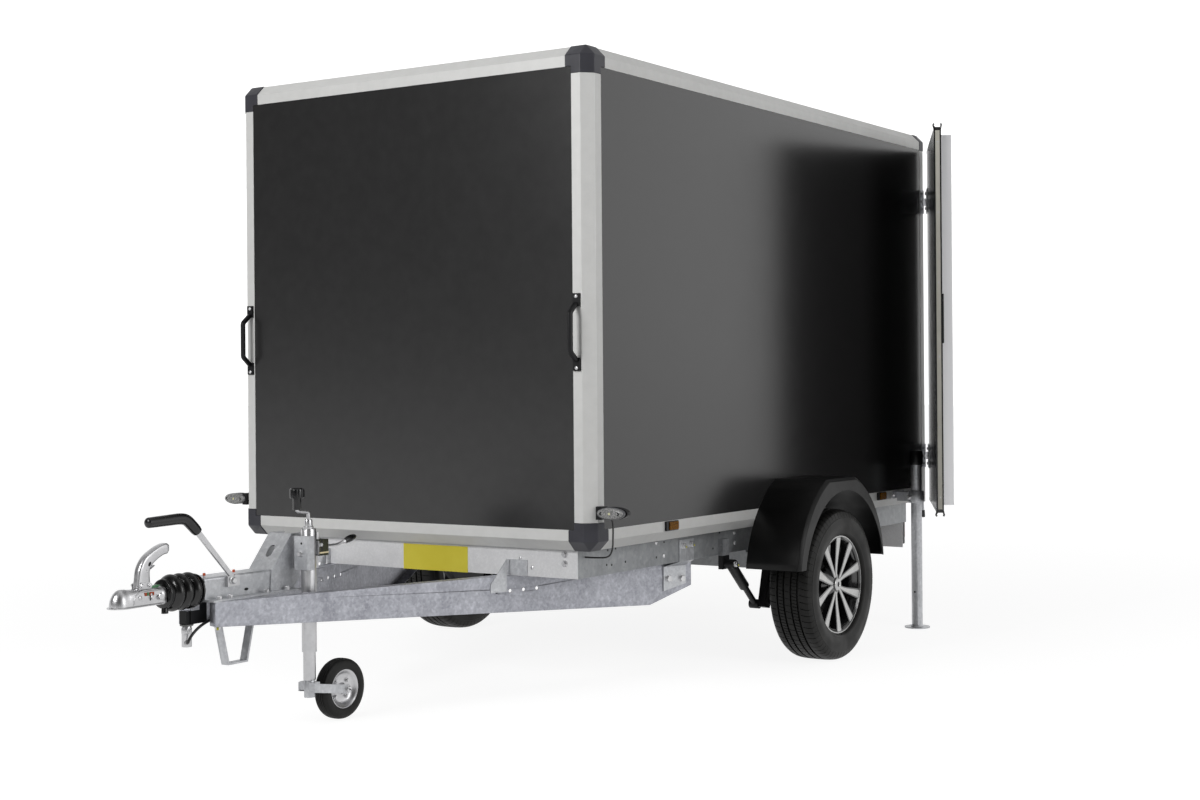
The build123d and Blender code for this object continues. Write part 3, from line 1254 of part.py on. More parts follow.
half_rim = RIM_WIDTH / 2
half_tyre = TYRE_WIDTH / 2
shoulder = TYRE_RADIUS - TYRE_SHOULDER
bead = RIM_RADIUS + BEAD_HEIGHT
bulge = (RIM_RADIUS + TYRE_RADIUS) / 2 + TYRE_SHOULDER / 2
crown_half = half_tyre - 2 * TYRE_SHOULDER
crown_edge = TYRE_RADIUS - TYRE_CROWN
rim_outer = half_rim + RIM_LIP
rim_inner = RIM_RADIUS - RIM_WALL
flange = RIM_RADIUS + RIM_FLANGE
for side, word in ((1, "left"), (-1, "right")):
    centre = at(side * wheel_x, WHEEL_PLACE, TYRE_RADIUS)
    wheel_section = Plane(origin=centre, x_dir=(side, 0, 0), z_dir=(0, -side, 0))
    spin = Axis(centre, (1, 0, 0))
    with BuildPart() as tyre:
        with BuildSketch(wheel_section):
            with BuildLine():
                Polyline(
                    (half_rim, bead),
                    (half_rim, RIM_RADIUS),
                    (-half_rim, RIM_RADIUS),
                    (-half_rim, bead),
                )
                for hand in SIDES:
                    ThreePointArc(
                        (hand * half_rim, bead),
                        (hand * half_tyre, bulge),
                        (hand * (half_tyre - TYRE_SHOULDER / 2), shoulder),
                    )
                    ThreePointArc(
                        (hand * (half_tyre - TYRE_SHOULDER / 2), shoulder),
                        (hand * (half_tyre - TYRE_SHOULDER), TYRE_RADIUS - TYRE_SHOULDER / 3),
                        (hand * crown_half, crown_edge),
                    )
                ThreePointArc((-crown_half, crown_edge), (0, TYRE_RADIUS), (crown_half, crown_edge))
            make_face()
        revolve(axis=spin)
    save(tyre, f"{word}_tyre")

    with BuildPart() as rim:
        with BuildSketch(wheel_section):
            Polygon(
                (-rim_outer, flange),
                (-half_rim, flange),
                (-half_rim, RIM_RADIUS),
                (half_rim, RIM_RADIUS),
                (half_rim, flange),
                (rim_outer, flange),
                (rim_outer, rim_inner),
                (-rim_outer, rim_inner),
                align=None,
            )
        revolve(axis=spin)
        face_middle = at(side * (wheel_x + half_rim - SPOKE_SETBACK), WHEEL_PLACE, TYRE_RADIUS)
        face_plane = Plane(origin=face_middle, z_dir=(side, 0, 0))
        spoke_root = HUB_RADIUS - SPOKE_AT_HUB / 2
        spoke_tip = RIM_RADIUS - RIM_WALL / 2
        with BuildSketch(face_plane):
            Circle(HUB_RADIUS)
            with PolarLocations(0, SPOKES):
                Polygon(
                    (spoke_root, -SPOKE_AT_HUB / 2),
                    (spoke_tip, -SPOKE_AT_RIM / 2),
                    (spoke_tip, SPOKE_AT_RIM / 2),
                    (spoke_root, SPOKE_AT_HUB / 2),
                    align=None,
                )
        extrude(amount=SPOKE_DEPTH)
        with BuildSketch(face_plane):
            Circle(HUB_BOSS)
            Circle(SPINDLE_RADIUS + HUB_CLEARANCE, mode=Mode.SUBTRACT)
        extrude(amount=-HUB_BOSS_DEPTH)
    save(rim, f"{word}_rim")

# ---- corner steadies ----

cap_radius = LEG_RADIUS + LEG_CAP_PROUD
for side, word in ((1, "left"), (-1, "right")):
    with BuildPart() as leg:
        with Locations(at(side * leg_x, leg_place, LEG_HEIGHT / 2)):
            Cylinder(LEG_RADIUS, LEG_HEIGHT)
        with Locations(at(side * leg_x, leg_place, LEG_FOOT_GAUGE / 2)):
            Cylinder(LEG_FOOT_RADIUS, LEG_FOOT_GAUGE)
        with Locations(at(side * leg_x, leg_place, LEG_HEIGHT - LEG_CAP_HEIGHT / 2)):
            Cylinder(cap_radius, LEG_CAP_HEIGHT)
        cap_edge = leg.edges().group_by(Axis.Z)[-1]
        fillet(cap_edge, LEG_CAP_PROUD)
    save(leg, f"{word}_leg")

with BuildPart() as leg_clamps:
    plate_out = half + BRACKET_GAUGE
    plate_low = BOX_BOTTOM + PROFILE_CHAMFER + 2
    half_arm = CLAMP_ARM_WIDTH / 2
    for side in SIDES:
        block(
            (side * half, leg_place - CLAMP_PLATE_LENGTH / 2, plate_low),
            (side * plate_out, leg_place + CLAMP_PLATE_LENGTH / 2, plate_low + CLAMP_PLATE_HEIGHT),
        )
        block(
            (side * plate_out, leg_place - half_arm, clamp_height - CLAMP_ARM_HEIGHT / 2),
            (side * leg_x, leg_place + half_arm, clamp_height + CLAMP_ARM_HEIGHT / 2),
        )
        with Locations(at(side * leg_x, leg_place, clamp_height)):
            Cylinder(LEG_RADIUS + CLAMP_RING, CLAMP_RING_HEIGHT)
        with BuildLine() as handle_line:
            FilletPolyline(
                at(side * leg_x, leg_place + LEG_RADIUS, clamp_height),
                at(side * leg_x, leg_place + LEG_RADIUS + 4 * CLAMP_RING, clamp_height),
                at(side * leg_x, leg_place + LEG_RADIUS + 5 * CLAMP_RING, clamp_height - 9 * CLAMP_RING),
                radius=2 * CLAMP_HANDLE_RADIUS,
            )
        with BuildSketch(Plane(origin=handle_line.line @ 0, z_dir=handle_line.line % 0)):
            Circle(CLAMP_HANDLE_RADIUS)
        sweep(path=handle_line.line)
        with Locations(at(side * leg_x, leg_place, clamp_height)):
            Cylinder(LEG_RADIUS + SLIDE_CLEARANCE, 2 * CLAMP_RING_HEIGHT, mode=Mode.SUBTRACT)
save(leg_clamps, "leg_clamps")

# ---- lamps, handles and small pieces ----

marker_x = half + MARKER_OUT
with BuildPart() as front_markers:
    for side in SIDES:
        block(
            (side * half, MARKER_PLACE - MARKER_ARM_WIDTH, marker_height - MARKER_ARM),
            (side * (half + MARKER_ARM), MARKER_PLACE, marker_height + MARKER_ARM),
        )
        lens_middle = at(side * marker_x, MARKER_PLACE, marker_height)
        with BuildSketch(Plane(origin=lens_middle, x_dir=(1, 0, 0), z_dir=(0, -1, 0))):
            Ellipse(MARKER_HALF_LENGTH, MARKER_HALF_HEIGHT)
        extrude(amount=MARKER_DEPTH)
save(front_markers, "front_markers")

lamp_low = BOX_BOTTOM + SIDE_LAMP_RISE
lamp_face = half + SIDE_LAMP_DEPTH
with BuildPart() as side_markers:
    for side in SIDES:
        for place in (SIDE_LAMP_PLACE, BOX_LENGTH - SIDE_LAMP_FROM_REAR):
            block(
                (side * half, place - SIDE_LAMP_LENGTH / 2, lamp_low),
                (side * lamp_face, place + SIDE_LAMP_LENGTH / 2, lamp_low + SIDE_LAMP_HEIGHT),
            )
save(side_markers, "side_markers")

grab_x = half - GRAB_INSET
foot_width, foot_depth, foot_height = GRAB_FOOT
with BuildPart() as grab_handles:
    for side in SIDES:
        x = side * grab_x
        with BuildLine() as bow:
            FilletPolyline(
                at(x, -foot_depth - 1, GRAB_LOW + foot_height / 3),
                at(x, -GRAB_DEPTH, GRAB_LOW + foot_height),
                at(x, -GRAB_DEPTH, GRAB_HIGH - foot_height),
                at(x, -foot_depth - 1, GRAB_HIGH - foot_height / 3),
                radius=GRAB_BEND,
            )
        with BuildSketch(Plane(origin=bow.line @ 0, z_dir=bow.line % 0)):
            Circle(GRAB_RADIUS)
        sweep(path=bow.line)
        for z in (GRAB_LOW, GRAB_HIGH):
            block(
                (x - foot_width / 2, -foot_depth, z - foot_height / 2),
                (x + foot_width / 2, 0, z + foot_height / 2),
            )
save(grab_handles, "grab_handles")

board_place = BOX_LENGTH - LAMP_BOARD_FROM_REAR
board_rear = board_place + SHEET_GAUGE
with BuildPart() as lamp_board:
    block((-web, board_place, LAMP_BOARD_LOW), (web, board_rear, LAMP_BOARD_HIGH))
save(lamp_board, "lamp_board")

lamp_end = web - REAR_LAMP_INSET
with BuildPart() as rear_lamps:
    for side in SIDES:
        block(
            (side * (lamp_end - REAR_LAMP_LENGTH), board_rear, REAR_LAMP_LOW),
            (side * lamp_end, board_rear + REAR_LAMP_DEPTH, REAR_LAMP_HIGH),
        )
save(rear_lamps, "rear_lamps")

# ---- cables ----


def cable(points, corner_radii, radius, name):
    """A round cable along straight runs joined by tangent arcs."""
    with BuildPart() as cord:
        with BuildLine() as route:
            FilletPolyline(*[at(*point) for point in points], radius=corner_radii)
        with BuildSketch(Plane(origin=route.line @ 0, z_dir=route.line % 0)):
            Circle(radius)
        sweep(path=route.line)
    save(cord, name)
    length = sum(edge.length for edge in route.edges())
    ratio = cord.part.volume / (pi * radius**2 * length)
    print(name, "length", round(length), "volume over section times length", round(ratio, 3))


def tangent_radii(points):
    """The largest arc at each corner that leaves a tenth of the shorter run straight."""
    radii = []
    for before, corner, after in zip(points, points[1:], points[2:]):
        run_in = Vector(*corner) - Vector(*before)
        run_out = Vector(*after) - Vector(*corner)
        turn = radians(run_in.get_angle(run_out))
        radii.append(0.45 * min(run_in.length, run_out.length) / tan(turn / 2))
    return radii


marker_route = [
    (marker_x - 40, MARKER_PLACE, marker_height - 8),
    (marker_x - 40, MARKER_PLACE + 20, marker_height - 8),
    (marker_x - 36, MARKER_PLACE + 32, marker_height - 38),
    (marker_x - 32, MARKER_PLACE + 24, marker_height - 80),
    (marker_x - 36, MARKER_PLACE + 28, marker_height - 126),
    (marker_x - 58, MARKER_PLACE + 38, marker_height - 154),
    (member_half + 52, MARKER_PLACE + 42, marker_height - 158),
    (member_half, MARKER_PLACE + 42, marker_height - 158),
]
outlet = outlet_middle + outlet_way * PLUG_OUTLET_REACH
outlet_start = (outlet.X, outlet.Y - front, outlet.Z)
plug_route = [
    outlet_start,
    (outlet_start[0] + 14, outlet_start[1] - 14 * tan(outlet_angle), outlet_start[2]),
    (outlet_start[0] + 22, outlet_start[1] - 6, outlet_start[2] + 22),
    (outlet_start[0] + 20, outlet_start[1] + 24, outlet_start[2] + 44),
    (outlet_start[0] + 17, outlet_start[1] + 66, outlet_start[2] + 60),
    (outlet_start[0] + 14, outlet_start[1] + 116, outlet_start[2] + 68),
    (outlet_start[0] + 10, outlet_start[1] + 154, outlet_start[2] + 90),
    (outlet_start[0] + 10, outlet_start[1] + 154, CHASSIS_BOTTOM),
]
for points, radius, name in (
    (marker_route, MARKER_CABLE_RADIUS, "marker_cable"),
    (plug_route, CABLE_RADIUS, "plug_cable"),
):
    radii = tangent_radii(points)
    print(name, "corner radii", [round(value, 1) for value in radii])
    cable(points, radii, radius, name)
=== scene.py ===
# %% [markdown]
# # A box trailer on a galvanised chassis
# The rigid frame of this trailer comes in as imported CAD: panels, profiles, beams, wheels and
# joints. This notebook gives those nodes their finishes, and adds what a drawing office leaves
# out, such as tread, bellows, bolts, seals, lamps and cables. Every length is in metres, with +Z
# up and the hitch pointing to -Y.

from math import cos, pi, radians, sin

import bmesh
import bpy
import numpy as np
from mathutils import Matrix, Vector


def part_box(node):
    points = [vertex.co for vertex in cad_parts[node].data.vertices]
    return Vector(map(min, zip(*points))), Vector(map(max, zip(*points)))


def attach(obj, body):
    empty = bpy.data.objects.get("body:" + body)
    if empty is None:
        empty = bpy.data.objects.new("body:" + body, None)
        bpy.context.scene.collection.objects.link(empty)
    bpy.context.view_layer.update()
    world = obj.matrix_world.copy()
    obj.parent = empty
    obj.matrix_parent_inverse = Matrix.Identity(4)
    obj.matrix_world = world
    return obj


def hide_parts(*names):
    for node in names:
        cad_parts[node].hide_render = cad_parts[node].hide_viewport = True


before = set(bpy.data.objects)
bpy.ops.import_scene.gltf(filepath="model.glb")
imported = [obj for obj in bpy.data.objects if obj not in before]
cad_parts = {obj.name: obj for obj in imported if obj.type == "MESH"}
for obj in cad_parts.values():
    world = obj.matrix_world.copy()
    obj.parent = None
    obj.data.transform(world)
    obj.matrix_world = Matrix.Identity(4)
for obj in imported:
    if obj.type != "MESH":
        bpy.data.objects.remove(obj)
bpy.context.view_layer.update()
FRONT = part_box("edge_profiles")[0][1]
print("nodes", len(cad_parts), "front face at", round(FRONT, 4))


def mm(x, place, z):
    """A point in metres from millimetres, the middle one counted from the box's front face."""
    return np.array([x / 1000, FRONT + place / 1000, z / 1000])


# %% [markdown]
# ## Camera
# The camera stands low to the left of the hitch, about as high as a seated person's eyes, and looks
# level, so that the posts stay upright. A small shift frames the trailer without tilting the view,
# which is what a technical camera does with its lens standard.

# %% Camera
CAMERA_AT = (4.118, -5.4875, 1.111)
CAMERA_TURN = 31.83
CAMERA_ROLL = -0.446
FOCAL_LENGTH, SENSOR_WIDTH = 52.47, 36
SHIFT_X, SHIFT_Y = -0.0667, -0.0169

optics = bpy.data.cameras.new("camera")
optics.lens = FOCAL_LENGTH
optics.sensor_width = SENSOR_WIDTH
optics.shift_x = SHIFT_X
optics.shift_y = SHIFT_Y
optics.clip_end = 200
camera = bpy.data.objects.new("camera", optics)
camera.matrix_world = (
    Matrix.Translation(CAMERA_AT)
    @ Matrix.Rotation(radians(CAMERA_TURN), 4, "Z")
    @ Matrix.Rotation(pi / 2, 4, "X")
    @ Matrix.Rotation(radians(CAMERA_ROLL), 4, "Z")
)
bpy.context.scene.collection.objects.link(camera)
bpy.context.scene.camera = camera
print("camera", CAMERA_AT, "lens", FOCAL_LENGTH)

# %% [markdown]
# ## Cables
# Two thin leads show. The plug's lead rises from its parking holder to the overrun housing, and the
# front marker lamp's lead curls round the corner to the chassis. Each is a smooth spline through a
# few control points: a lead bends evenly, so corners would look like bent wire.


# %% Cable helper
def lead(name, route, radius, body):
    """A lead whose centreline is a quadratic NURBS curve with the control points in route."""
    curve = bpy.data.curves.new(name, "CURVE")
    curve.dimensions = "3D"
    curve.bevel_depth = 1.0
    curve.bevel_resolution = 5
    curve.resolution_u = 10
    curve.use_fill_caps = True
    spline = curve.splines.new("NURBS")
    spline.points.add(len(route) - 1)
    spline.points.foreach_set("co", np.c_[route, np.ones(len(route))].ravel())
    spline.points.foreach_set("radius", np.full(len(route), radius))
    spline.order_u = 3
    spline.use_endpoint_u = True
    item = bpy.data.objects.new(name, curve)
    bpy.context.scene.collection.objects.link(item)
    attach(item, body)
    return item


# %% The plug's lead
PLUG_ROUTE = [
    mm(19.85, -1034.14, 319),
    mm(33.85, -1045.89, 319),
    mm(41.85, -1040.14, 341),
    mm(39.85, -1010.14, 363),
    mm(36.85, -968.14, 379),
    mm(33.85, -918.14, 387),
    mm(29.85, -880.14, 409),
    mm(29.85, -880.14, 440),
]
plug_lead = lead("plug_lead", PLUG_ROUTE, 0.0045, "chassis")
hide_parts("plug_cable")

# %% The marker lamp's lead
MARKER_ROUTE = [
    mm(828, 58, 661),
    mm(828, 78, 661),
    mm(832, 90, 631),
    mm(836, 82, 589),
    mm(832, 86, 543),
    mm(810, 96, 515),
    mm(762, 100, 511),
    mm(710, 100, 511),
]
marker_lead = lead("marker_lead", MARKER_ROUTE, 0.003, "chassis")
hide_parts("marker_cable")
print("leads made")

# %% [markdown]
# ## Stage and light
# A pale floor that runs far back, and a world that shows white behind it. Light Path keeps that
# white out of the light that falls on the trailer: the camera, mirror-like metal and glass see it,
# and matt surfaces don't. The world is dimmer high up and behind the camera, as a studio is, so
# that polished metal has something to contrast.

# %% Node helpers
LIGHT_RAYS = ("Is Camera Ray", "Is Glossy Ray", "Is Transmission Ray")


def add(tree, kind, **settings):
    """A new node with its settings, where a key that names an input sets that input."""
    made = tree.nodes.new(kind)
    for key, value in settings.items():
        if hasattr(made, key):
            setattr(made, key, value)
        else:
            made.inputs[key.replace("_", " ")].default_value = value
    return made


def math(tree, operation, first, second=None, third=None, clamp=False):
    """A Math node's output, where each operand is a number or an output."""
    made = tree.nodes.new("ShaderNodeMath")
    made.operation = operation
    made.use_clamp = clamp
    for socket, value in zip(made.inputs, (first, second, third)):
        if value is None:
            continue
        if isinstance(value, (int, float)):
            socket.default_value = value
        else:
            tree.links.new(value, socket)
    return made.outputs[0]


def stretch(tree, value, low, high, to_low=0.0, to_high=1.0, kind="LINEAR"):
    """value carried from low..high to to_low..to_high and clamped, in a straight line or an S."""
    made = add(tree, "ShaderNodeMapRange", interpolation_type=kind)
    limits = {"From Min": low, "From Max": high, "To Min": to_low, "To Max": to_high}
    for label, number in limits.items():
        made.inputs[label].default_value = number
    tree.links.new(value, made.inputs["Value"])
    return made.outputs[0]


def sees_backdrop(tree):
    """1 for the rays that should meet the white backdrop, 0 for the light on matt surfaces."""
    path = tree.nodes.new("ShaderNodeLightPath")
    total = math(tree, "ADD", path.outputs[LIGHT_RAYS[0]], path.outputs[LIGHT_RAYS[1]])
    return math(tree, "ADD", total, path.outputs[LIGHT_RAYS[2]], clamp=True)


# %% World
# The brightness that mirrors see falls with height, and is near zero behind the camera.
WORLD_ON_MATT = 0.21

world = bpy.data.worlds.new("studio")
bpy.context.scene.world = world
world.use_nodes = True
tree = world.node_tree
tree.nodes.clear()
way = tree.nodes.new("ShaderNodeTexCoord")
split = tree.nodes.new("ShaderNodeSeparateXYZ")
tree.links.new(way.outputs["Generated"], split.inputs[0])
height = stretch(tree, split.outputs["Z"], 0.25, 0.75, 1.0, 0.45, "SMOOTHSTEP")
ahead = stretch(tree, split.outputs["Y"], -0.55, 0.15, 0.08, 1.3, "SMOOTHSTEP")
seen = math(tree, "MULTIPLY", height, ahead)
path = tree.nodes.new("ShaderNodeLightPath")
bright = math(tree, "MAXIMUM", seen, path.outputs["Is Camera Ray"])
strength = tree.nodes.new("ShaderNodeMix")
strength.data_type = "FLOAT"
tree.links.new(sees_backdrop(tree), strength.inputs["Factor"])
strength.inputs["A"].default_value = WORLD_ON_MATT
tree.links.new(bright, strength.inputs["B"])
background = add(tree, "ShaderNodeBackground", Color=(1, 1, 1, 1))
tree.links.new(strength.outputs[0], background.inputs["Strength"])
output = tree.nodes.new("ShaderNodeOutputWorld")
tree.links.new(background.outputs[0], output.inputs[0])

# %% Floor
# The floor glows a little less under the trailer than from GLOW_FAR on.
FLOOR_SIZE = 60.0
FLOOR_TONE = (0.24, 0.24, 0.24, 1)
GLOW_NEAR, GLOW_FAR = 2.2, 9.0
GLOW_LOW, GLOW_HIGH = 0.89, 1.0


def flat_grid(name, half_x, low_y, high_y, z):
    """A level rectangle, as wide on each side of X = 0, between two values of Y."""
    corners = [(-half_x, low_y, z), (half_x, low_y, z), (half_x, high_y, z), (-half_x, high_y, z)]
    mesh = bpy.data.meshes.new(name)
    mesh.from_pydata(corners, [], [(0, 1, 2, 3)])
    item = bpy.data.objects.new(name, mesh)
    bpy.context.scene.collection.objects.link(item)
    return item


floor = flat_grid("floor", FLOOR_SIZE, -FLOOR_SIZE, FLOOR_SIZE, 0.0)
floor_paint = bpy.data.materials.new("floor_paint")
floor_paint.use_nodes = True
tree = floor_paint.node_tree
tree.nodes.clear()
matt = add(tree, "ShaderNodeBsdfDiffuse", Color=FLOOR_TONE)
glow = add(tree, "ShaderNodeEmission", Color=(1, 1, 1, 1))
spot = tree.nodes.new("ShaderNodeTexCoord").outputs["Object"]
reach = add(tree, "ShaderNodeVectorMath", operation="LENGTH")
tree.links.new(spot, reach.inputs[0])
away = stretch(tree, reach.outputs["Value"], GLOW_NEAR, GLOW_FAR, GLOW_LOW, GLOW_HIGH)
tree.links.new(math(tree, "MULTIPLY", sees_backdrop(tree), away), glow.inputs["Strength"])
both = tree.nodes.new("ShaderNodeAddShader")
tree.links.new(matt.outputs[0], both.inputs[0])
tree.links.new(glow.outputs[0], both.inputs[1])
output = tree.nodes.new("ShaderNodeOutputMaterial")
tree.links.new(both.outputs[0], output.inputs["Surface"])
floor.data.materials.append(floor_paint)

# %% Lamps
# Each lamp is a large soft panel: name, place, what it faces, width, height, watts.
LAMPS = [
    ("side_light", (5.2, -0.8, 2.4), (0.8, 0.4, 1.1), 2.4, 2.4, 60),
    ("front_light", (-0.9, -6.4, 3.5), (0.0, -1.0, 1.0), 2.2, 2.0, 208),
    ("overhead_light", (0.4, -1.4, 5.4), (0.0, -0.6, 0.5), 4.2, 5.2, 18),
]


def soft_lamp(name, place, target, width, height, watts):
    """An area lamp that faces its target."""
    light = bpy.data.lights.new(name, "AREA")
    light.shape = "RECTANGLE"
    light.size = width
    light.size_y = height
    light.energy = watts
    item = bpy.data.objects.new(name, light)
    aim = (Vector(target) - Vector(place)).to_track_quat("-Z", "Y")
    item.matrix_world = Matrix.Translation(place) @ aim.to_matrix().to_4x4()
    bpy.context.scene.collection.objects.link(item)


for row in LAMPS:
    soft_lamp(*row)

bpy.context.scene.view_settings.view_transform = "Standard"
print("lamps", len(LAMPS))

# %% [markdown]
# ## Effects that several finishes share
# A node group is a small recipe that many materials can use with their own values. Four are enough
# here: the spangle of hot-dip zinc, the fine grain of moulded plastic and film, the soft mottling
# that handling leaves, and faint drawn lines along rolled or extruded metal. Each puts out only
# masks and heights that vary over the surface, and every plain number stays on the material's own
# shader.


# %% Group helper
def recipe(name, inputs, outputs):
    """An empty node group with float inputs {name: value} plus Place, and float outputs."""
    tree = bpy.data.node_groups.new(name, "ShaderNodeTree")
    tree.interface.new_socket("Place", in_out="INPUT", socket_type="NodeSocketVector")
    for label, value in inputs.items():
        made = tree.interface.new_socket(label, in_out="INPUT", socket_type="NodeSocketFloat")
        made.default_value = value
    for label in outputs:
        tree.interface.new_socket(label, in_out="OUTPUT", socket_type="NodeSocketFloat")
    return tree, tree.nodes.new("NodeGroupInput"), tree.nodes.new("NodeGroupOutput")


def pattern(tree, kind, place, scale, **settings):
    """A texture node on a place, whose scale is a number or an output."""
    made = add(tree, kind, **settings)
    tree.links.new(place, made.inputs["Vector"])
    if isinstance(scale, (int, float)):
        made.inputs["Scale"].default_value = scale
    else:
        tree.links.new(scale, made.inputs["Scale"])
    return made


# %% Zinc spangle
spangle, start, end = recipe("zinc_spangle", {"Scale": 60.0}, ("Tone", "Dull", "Height"))
place, scale = start.outputs["Place"], start.outputs["Scale"]
crystal = pattern(spangle, "ShaderNodeTexVoronoi", place, scale)
shade = spangle.nodes.new("ShaderNodeSeparateColor")
spangle.links.new(crystal.outputs["Color"], shade.inputs[0])
coarse = math(spangle, "MULTIPLY", scale, 0.09)
cloud = pattern(spangle, "ShaderNodeTexNoise", place, coarse, Detail=5.0)
middling = math(spangle, "MULTIPLY", scale, 0.5)
streak = pattern(spangle, "ShaderNodeTexNoise", place, middling, Detail=3.0)
crystals = math(spangle, "MULTIPLY", shade.outputs[0], 0.26)
clouds = stretch(spangle, cloud.outputs[0], 0.3, 0.7, 0.0, 0.40)
flecks = stretch(spangle, streak.outputs[0], 0.48, 0.72, 0.0, 0.40)
body_tone = math(spangle, "ADD", crystals, clouds)
spangle.links.new(math(spangle, "ADD", body_tone, flecks, clamp=True), end.inputs["Tone"])
dull_crystals = math(spangle, "MULTIPLY", shade.outputs[1], 0.5)
dull_streaks = stretch(spangle, streak.outputs[0], 0.3, 0.7, 0, 0.5)
spangle.links.new(math(spangle, "ADD", dull_crystals, dull_streaks), end.inputs["Dull"])
edge = math(spangle, "MULTIPLY", stretch(spangle, crystal.outputs["Distance"], 0.0, 0.6), 0.3)
spangle.links.new(math(spangle, "ADD", edge, streak.outputs[0]), end.inputs["Height"])

# %% Moulded grain
grain, start, end = recipe("moulded_grain", {"Scale": 900.0}, ("Tone", "Height"))
place, scale = start.outputs["Place"], start.outputs["Scale"]
pores = pattern(grain, "ShaderNodeTexNoise", place, scale, Detail=2.0, Roughness=0.6)
slow = math(grain, "MULTIPLY", scale, 0.02)
drift = pattern(grain, "ShaderNodeTexNoise", place, slow, Detail=4.0)
grain.links.new(stretch(grain, drift.outputs[0], 0.3, 0.7), end.inputs["Tone"])
grain.links.new(pores.outputs[0], end.inputs["Height"])

# %% Handling marks
marks, start, end = recipe("handling_marks", {"Scale": 6.0}, ("Smudge", "Speck"))
place, scale = start.outputs["Place"], start.outputs["Scale"]
wipe = pattern(
    marks, "ShaderNodeTexNoise", place, scale, Detail=6.0, Roughness=0.55, Distortion=0.6
)
tight = math(marks, "MULTIPLY", scale, 45.0)
speck = pattern(marks, "ShaderNodeTexNoise", place, tight, Detail=2.0)
marks.links.new(stretch(marks, wipe.outputs[0], 0.42, 0.7), end.inputs["Smudge"])
marks.links.new(stretch(marks, speck.outputs[0], 0.66, 0.78), end.inputs["Speck"])

# %% Drawn lines
lines, start, end = recipe("drawn_lines", {"Scale": 1.0}, ("Tone", "Height"))
stretched = add(lines, "ShaderNodeMapping")
lines.links.new(start.outputs["Place"], stretched.inputs["Vector"])
stretched.inputs["Scale"].default_value = (700, 3, 700)
drawn = stretched.outputs["Vector"]
fine = pattern(lines, "ShaderNodeTexNoise", drawn, start.outputs["Scale"], Detail=3.0)
lines.links.new(stretch(lines, fine.outputs[0], 0.3, 0.7), end.inputs["Tone"])
lines.links.new(fine.outputs[0], end.inputs["Height"])
print("groups", [g.name for g in bpy.data.node_groups])

# %% [markdown]
# ## Finishes
# Every material is one Principled BSDF fed by the groups above: a mask mixes two close colours,
# another shifts the roughness a little, and a height goes through a Bump node. Plain values such as
# metallic or coat stay on the shader's own sockets.


# %% Finish helper
def finish_of(name, metallic=0.0, coat=0.0, specular=0.5):
    """A material with one Principled BSDF: the material, its tree, the shader and Object space."""
    made = bpy.data.materials.new(name)
    made.use_nodes = True
    tree = made.node_tree
    shader = tree.nodes["Principled BSDF"]
    shader.inputs["Metallic"].default_value = metallic
    shader.inputs["Specular IOR Level"].default_value = specular
    shader.inputs["Coat Weight"].default_value = coat
    shader.inputs["Coat Roughness"].default_value = 0.12
    place = tree.nodes.new("ShaderNodeTexCoord").outputs["Object"]
    return made, tree, shader, place


def use(tree, group, place, scale):
    """A group node fed with a place and its scale."""
    made = tree.nodes.new("ShaderNodeGroup")
    made.node_tree = group
    tree.links.new(place, made.inputs["Place"])
    made.inputs["Scale"].default_value = scale
    return made


def between(tree, mask, first, second):
    """A colour from first to second as mask goes from 0 to 1; each is a colour or an output."""
    made = tree.nodes.new("ShaderNodeMix")
    made.data_type = "RGBA"
    tree.links.new(mask, made.inputs["Factor"])
    for label, colour in (("A", first), ("B", second)):
        socket = next(s for s in made.inputs if s.name == label and s.type == "RGBA")
        if isinstance(colour, tuple):
            socket.default_value = (*colour, 1)
        else:
            tree.links.new(colour, socket)
    return next(s for s in made.outputs if s.type == "RGBA")


def relief(tree, shader, height, strength, distance):
    """A Bump node on the shader's Normal."""
    bump = add(tree, "ShaderNodeBump", Strength=strength, Distance=distance)
    tree.links.new(height, bump.inputs["Height"])
    tree.links.new(bump.outputs[0], shader.inputs["Normal"])


def zinc(name, dark, light, rough, scale, metallic=1.0, bump=0.25):
    """Galvanised steel: crystals between a dark and a light tone, each more or less dull."""
    made, tree, shader, place = finish_of(name, metallic)
    flakes = use(tree, spangle, place, scale)
    tree.links.new(between(tree, flakes.outputs["Tone"], dark, light), shader.inputs["Base Color"])
    tree.links.new(stretch(tree, flakes.outputs["Dull"], 0, 1, *rough), shader.inputs["Roughness"])
    relief(tree, shader, flakes.outputs["Height"], bump, 0.0004)
    return made


def worked(name, metallic, texture, dulling, dark, light, rough, bump, specular=0.5):
    """Rolled, drawn or turned metal: texture is (group, scale), dulling (group, scale, output)."""
    made, tree, shader, place = finish_of(name, metallic, 0.0, specular)
    surface = use(tree, texture[0], place, texture[1])
    wear = use(tree, dulling[0], place, dulling[1])
    dulled = stretch(tree, wear.outputs[dulling[2]], 0, 1, *rough)
    tone = between(tree, surface.outputs["Tone"], dark, light)
    tree.links.new(tone, shader.inputs["Base Color"])
    tree.links.new(dulled, shader.inputs["Roughness"])
    relief(tree, shader, surface.outputs["Height"], bump, 0.0001)
    return made


def moulded(
    name, dark, light, rough, scale=900.0, bump=0.3, depth=0.0002, coat=0.0, specular=0.5
):
    """Moulded plastic, rubber or paint: close tones that drift, with a fine grain."""
    made, tree, shader, place = finish_of(name, 0.0, coat, specular)
    surface = use(tree, grain, place, scale)
    wear = use(tree, marks, place, 9.0)
    tone = between(tree, surface.outputs["Tone"], dark, light)
    tree.links.new(tone, shader.inputs["Base Color"])
    tree.links.new(stretch(tree, wear.outputs["Smudge"], 0, 1, *rough), shader.inputs["Roughness"])
    relief(tree, shader, surface.outputs["Height"], bump, depth)
    return made


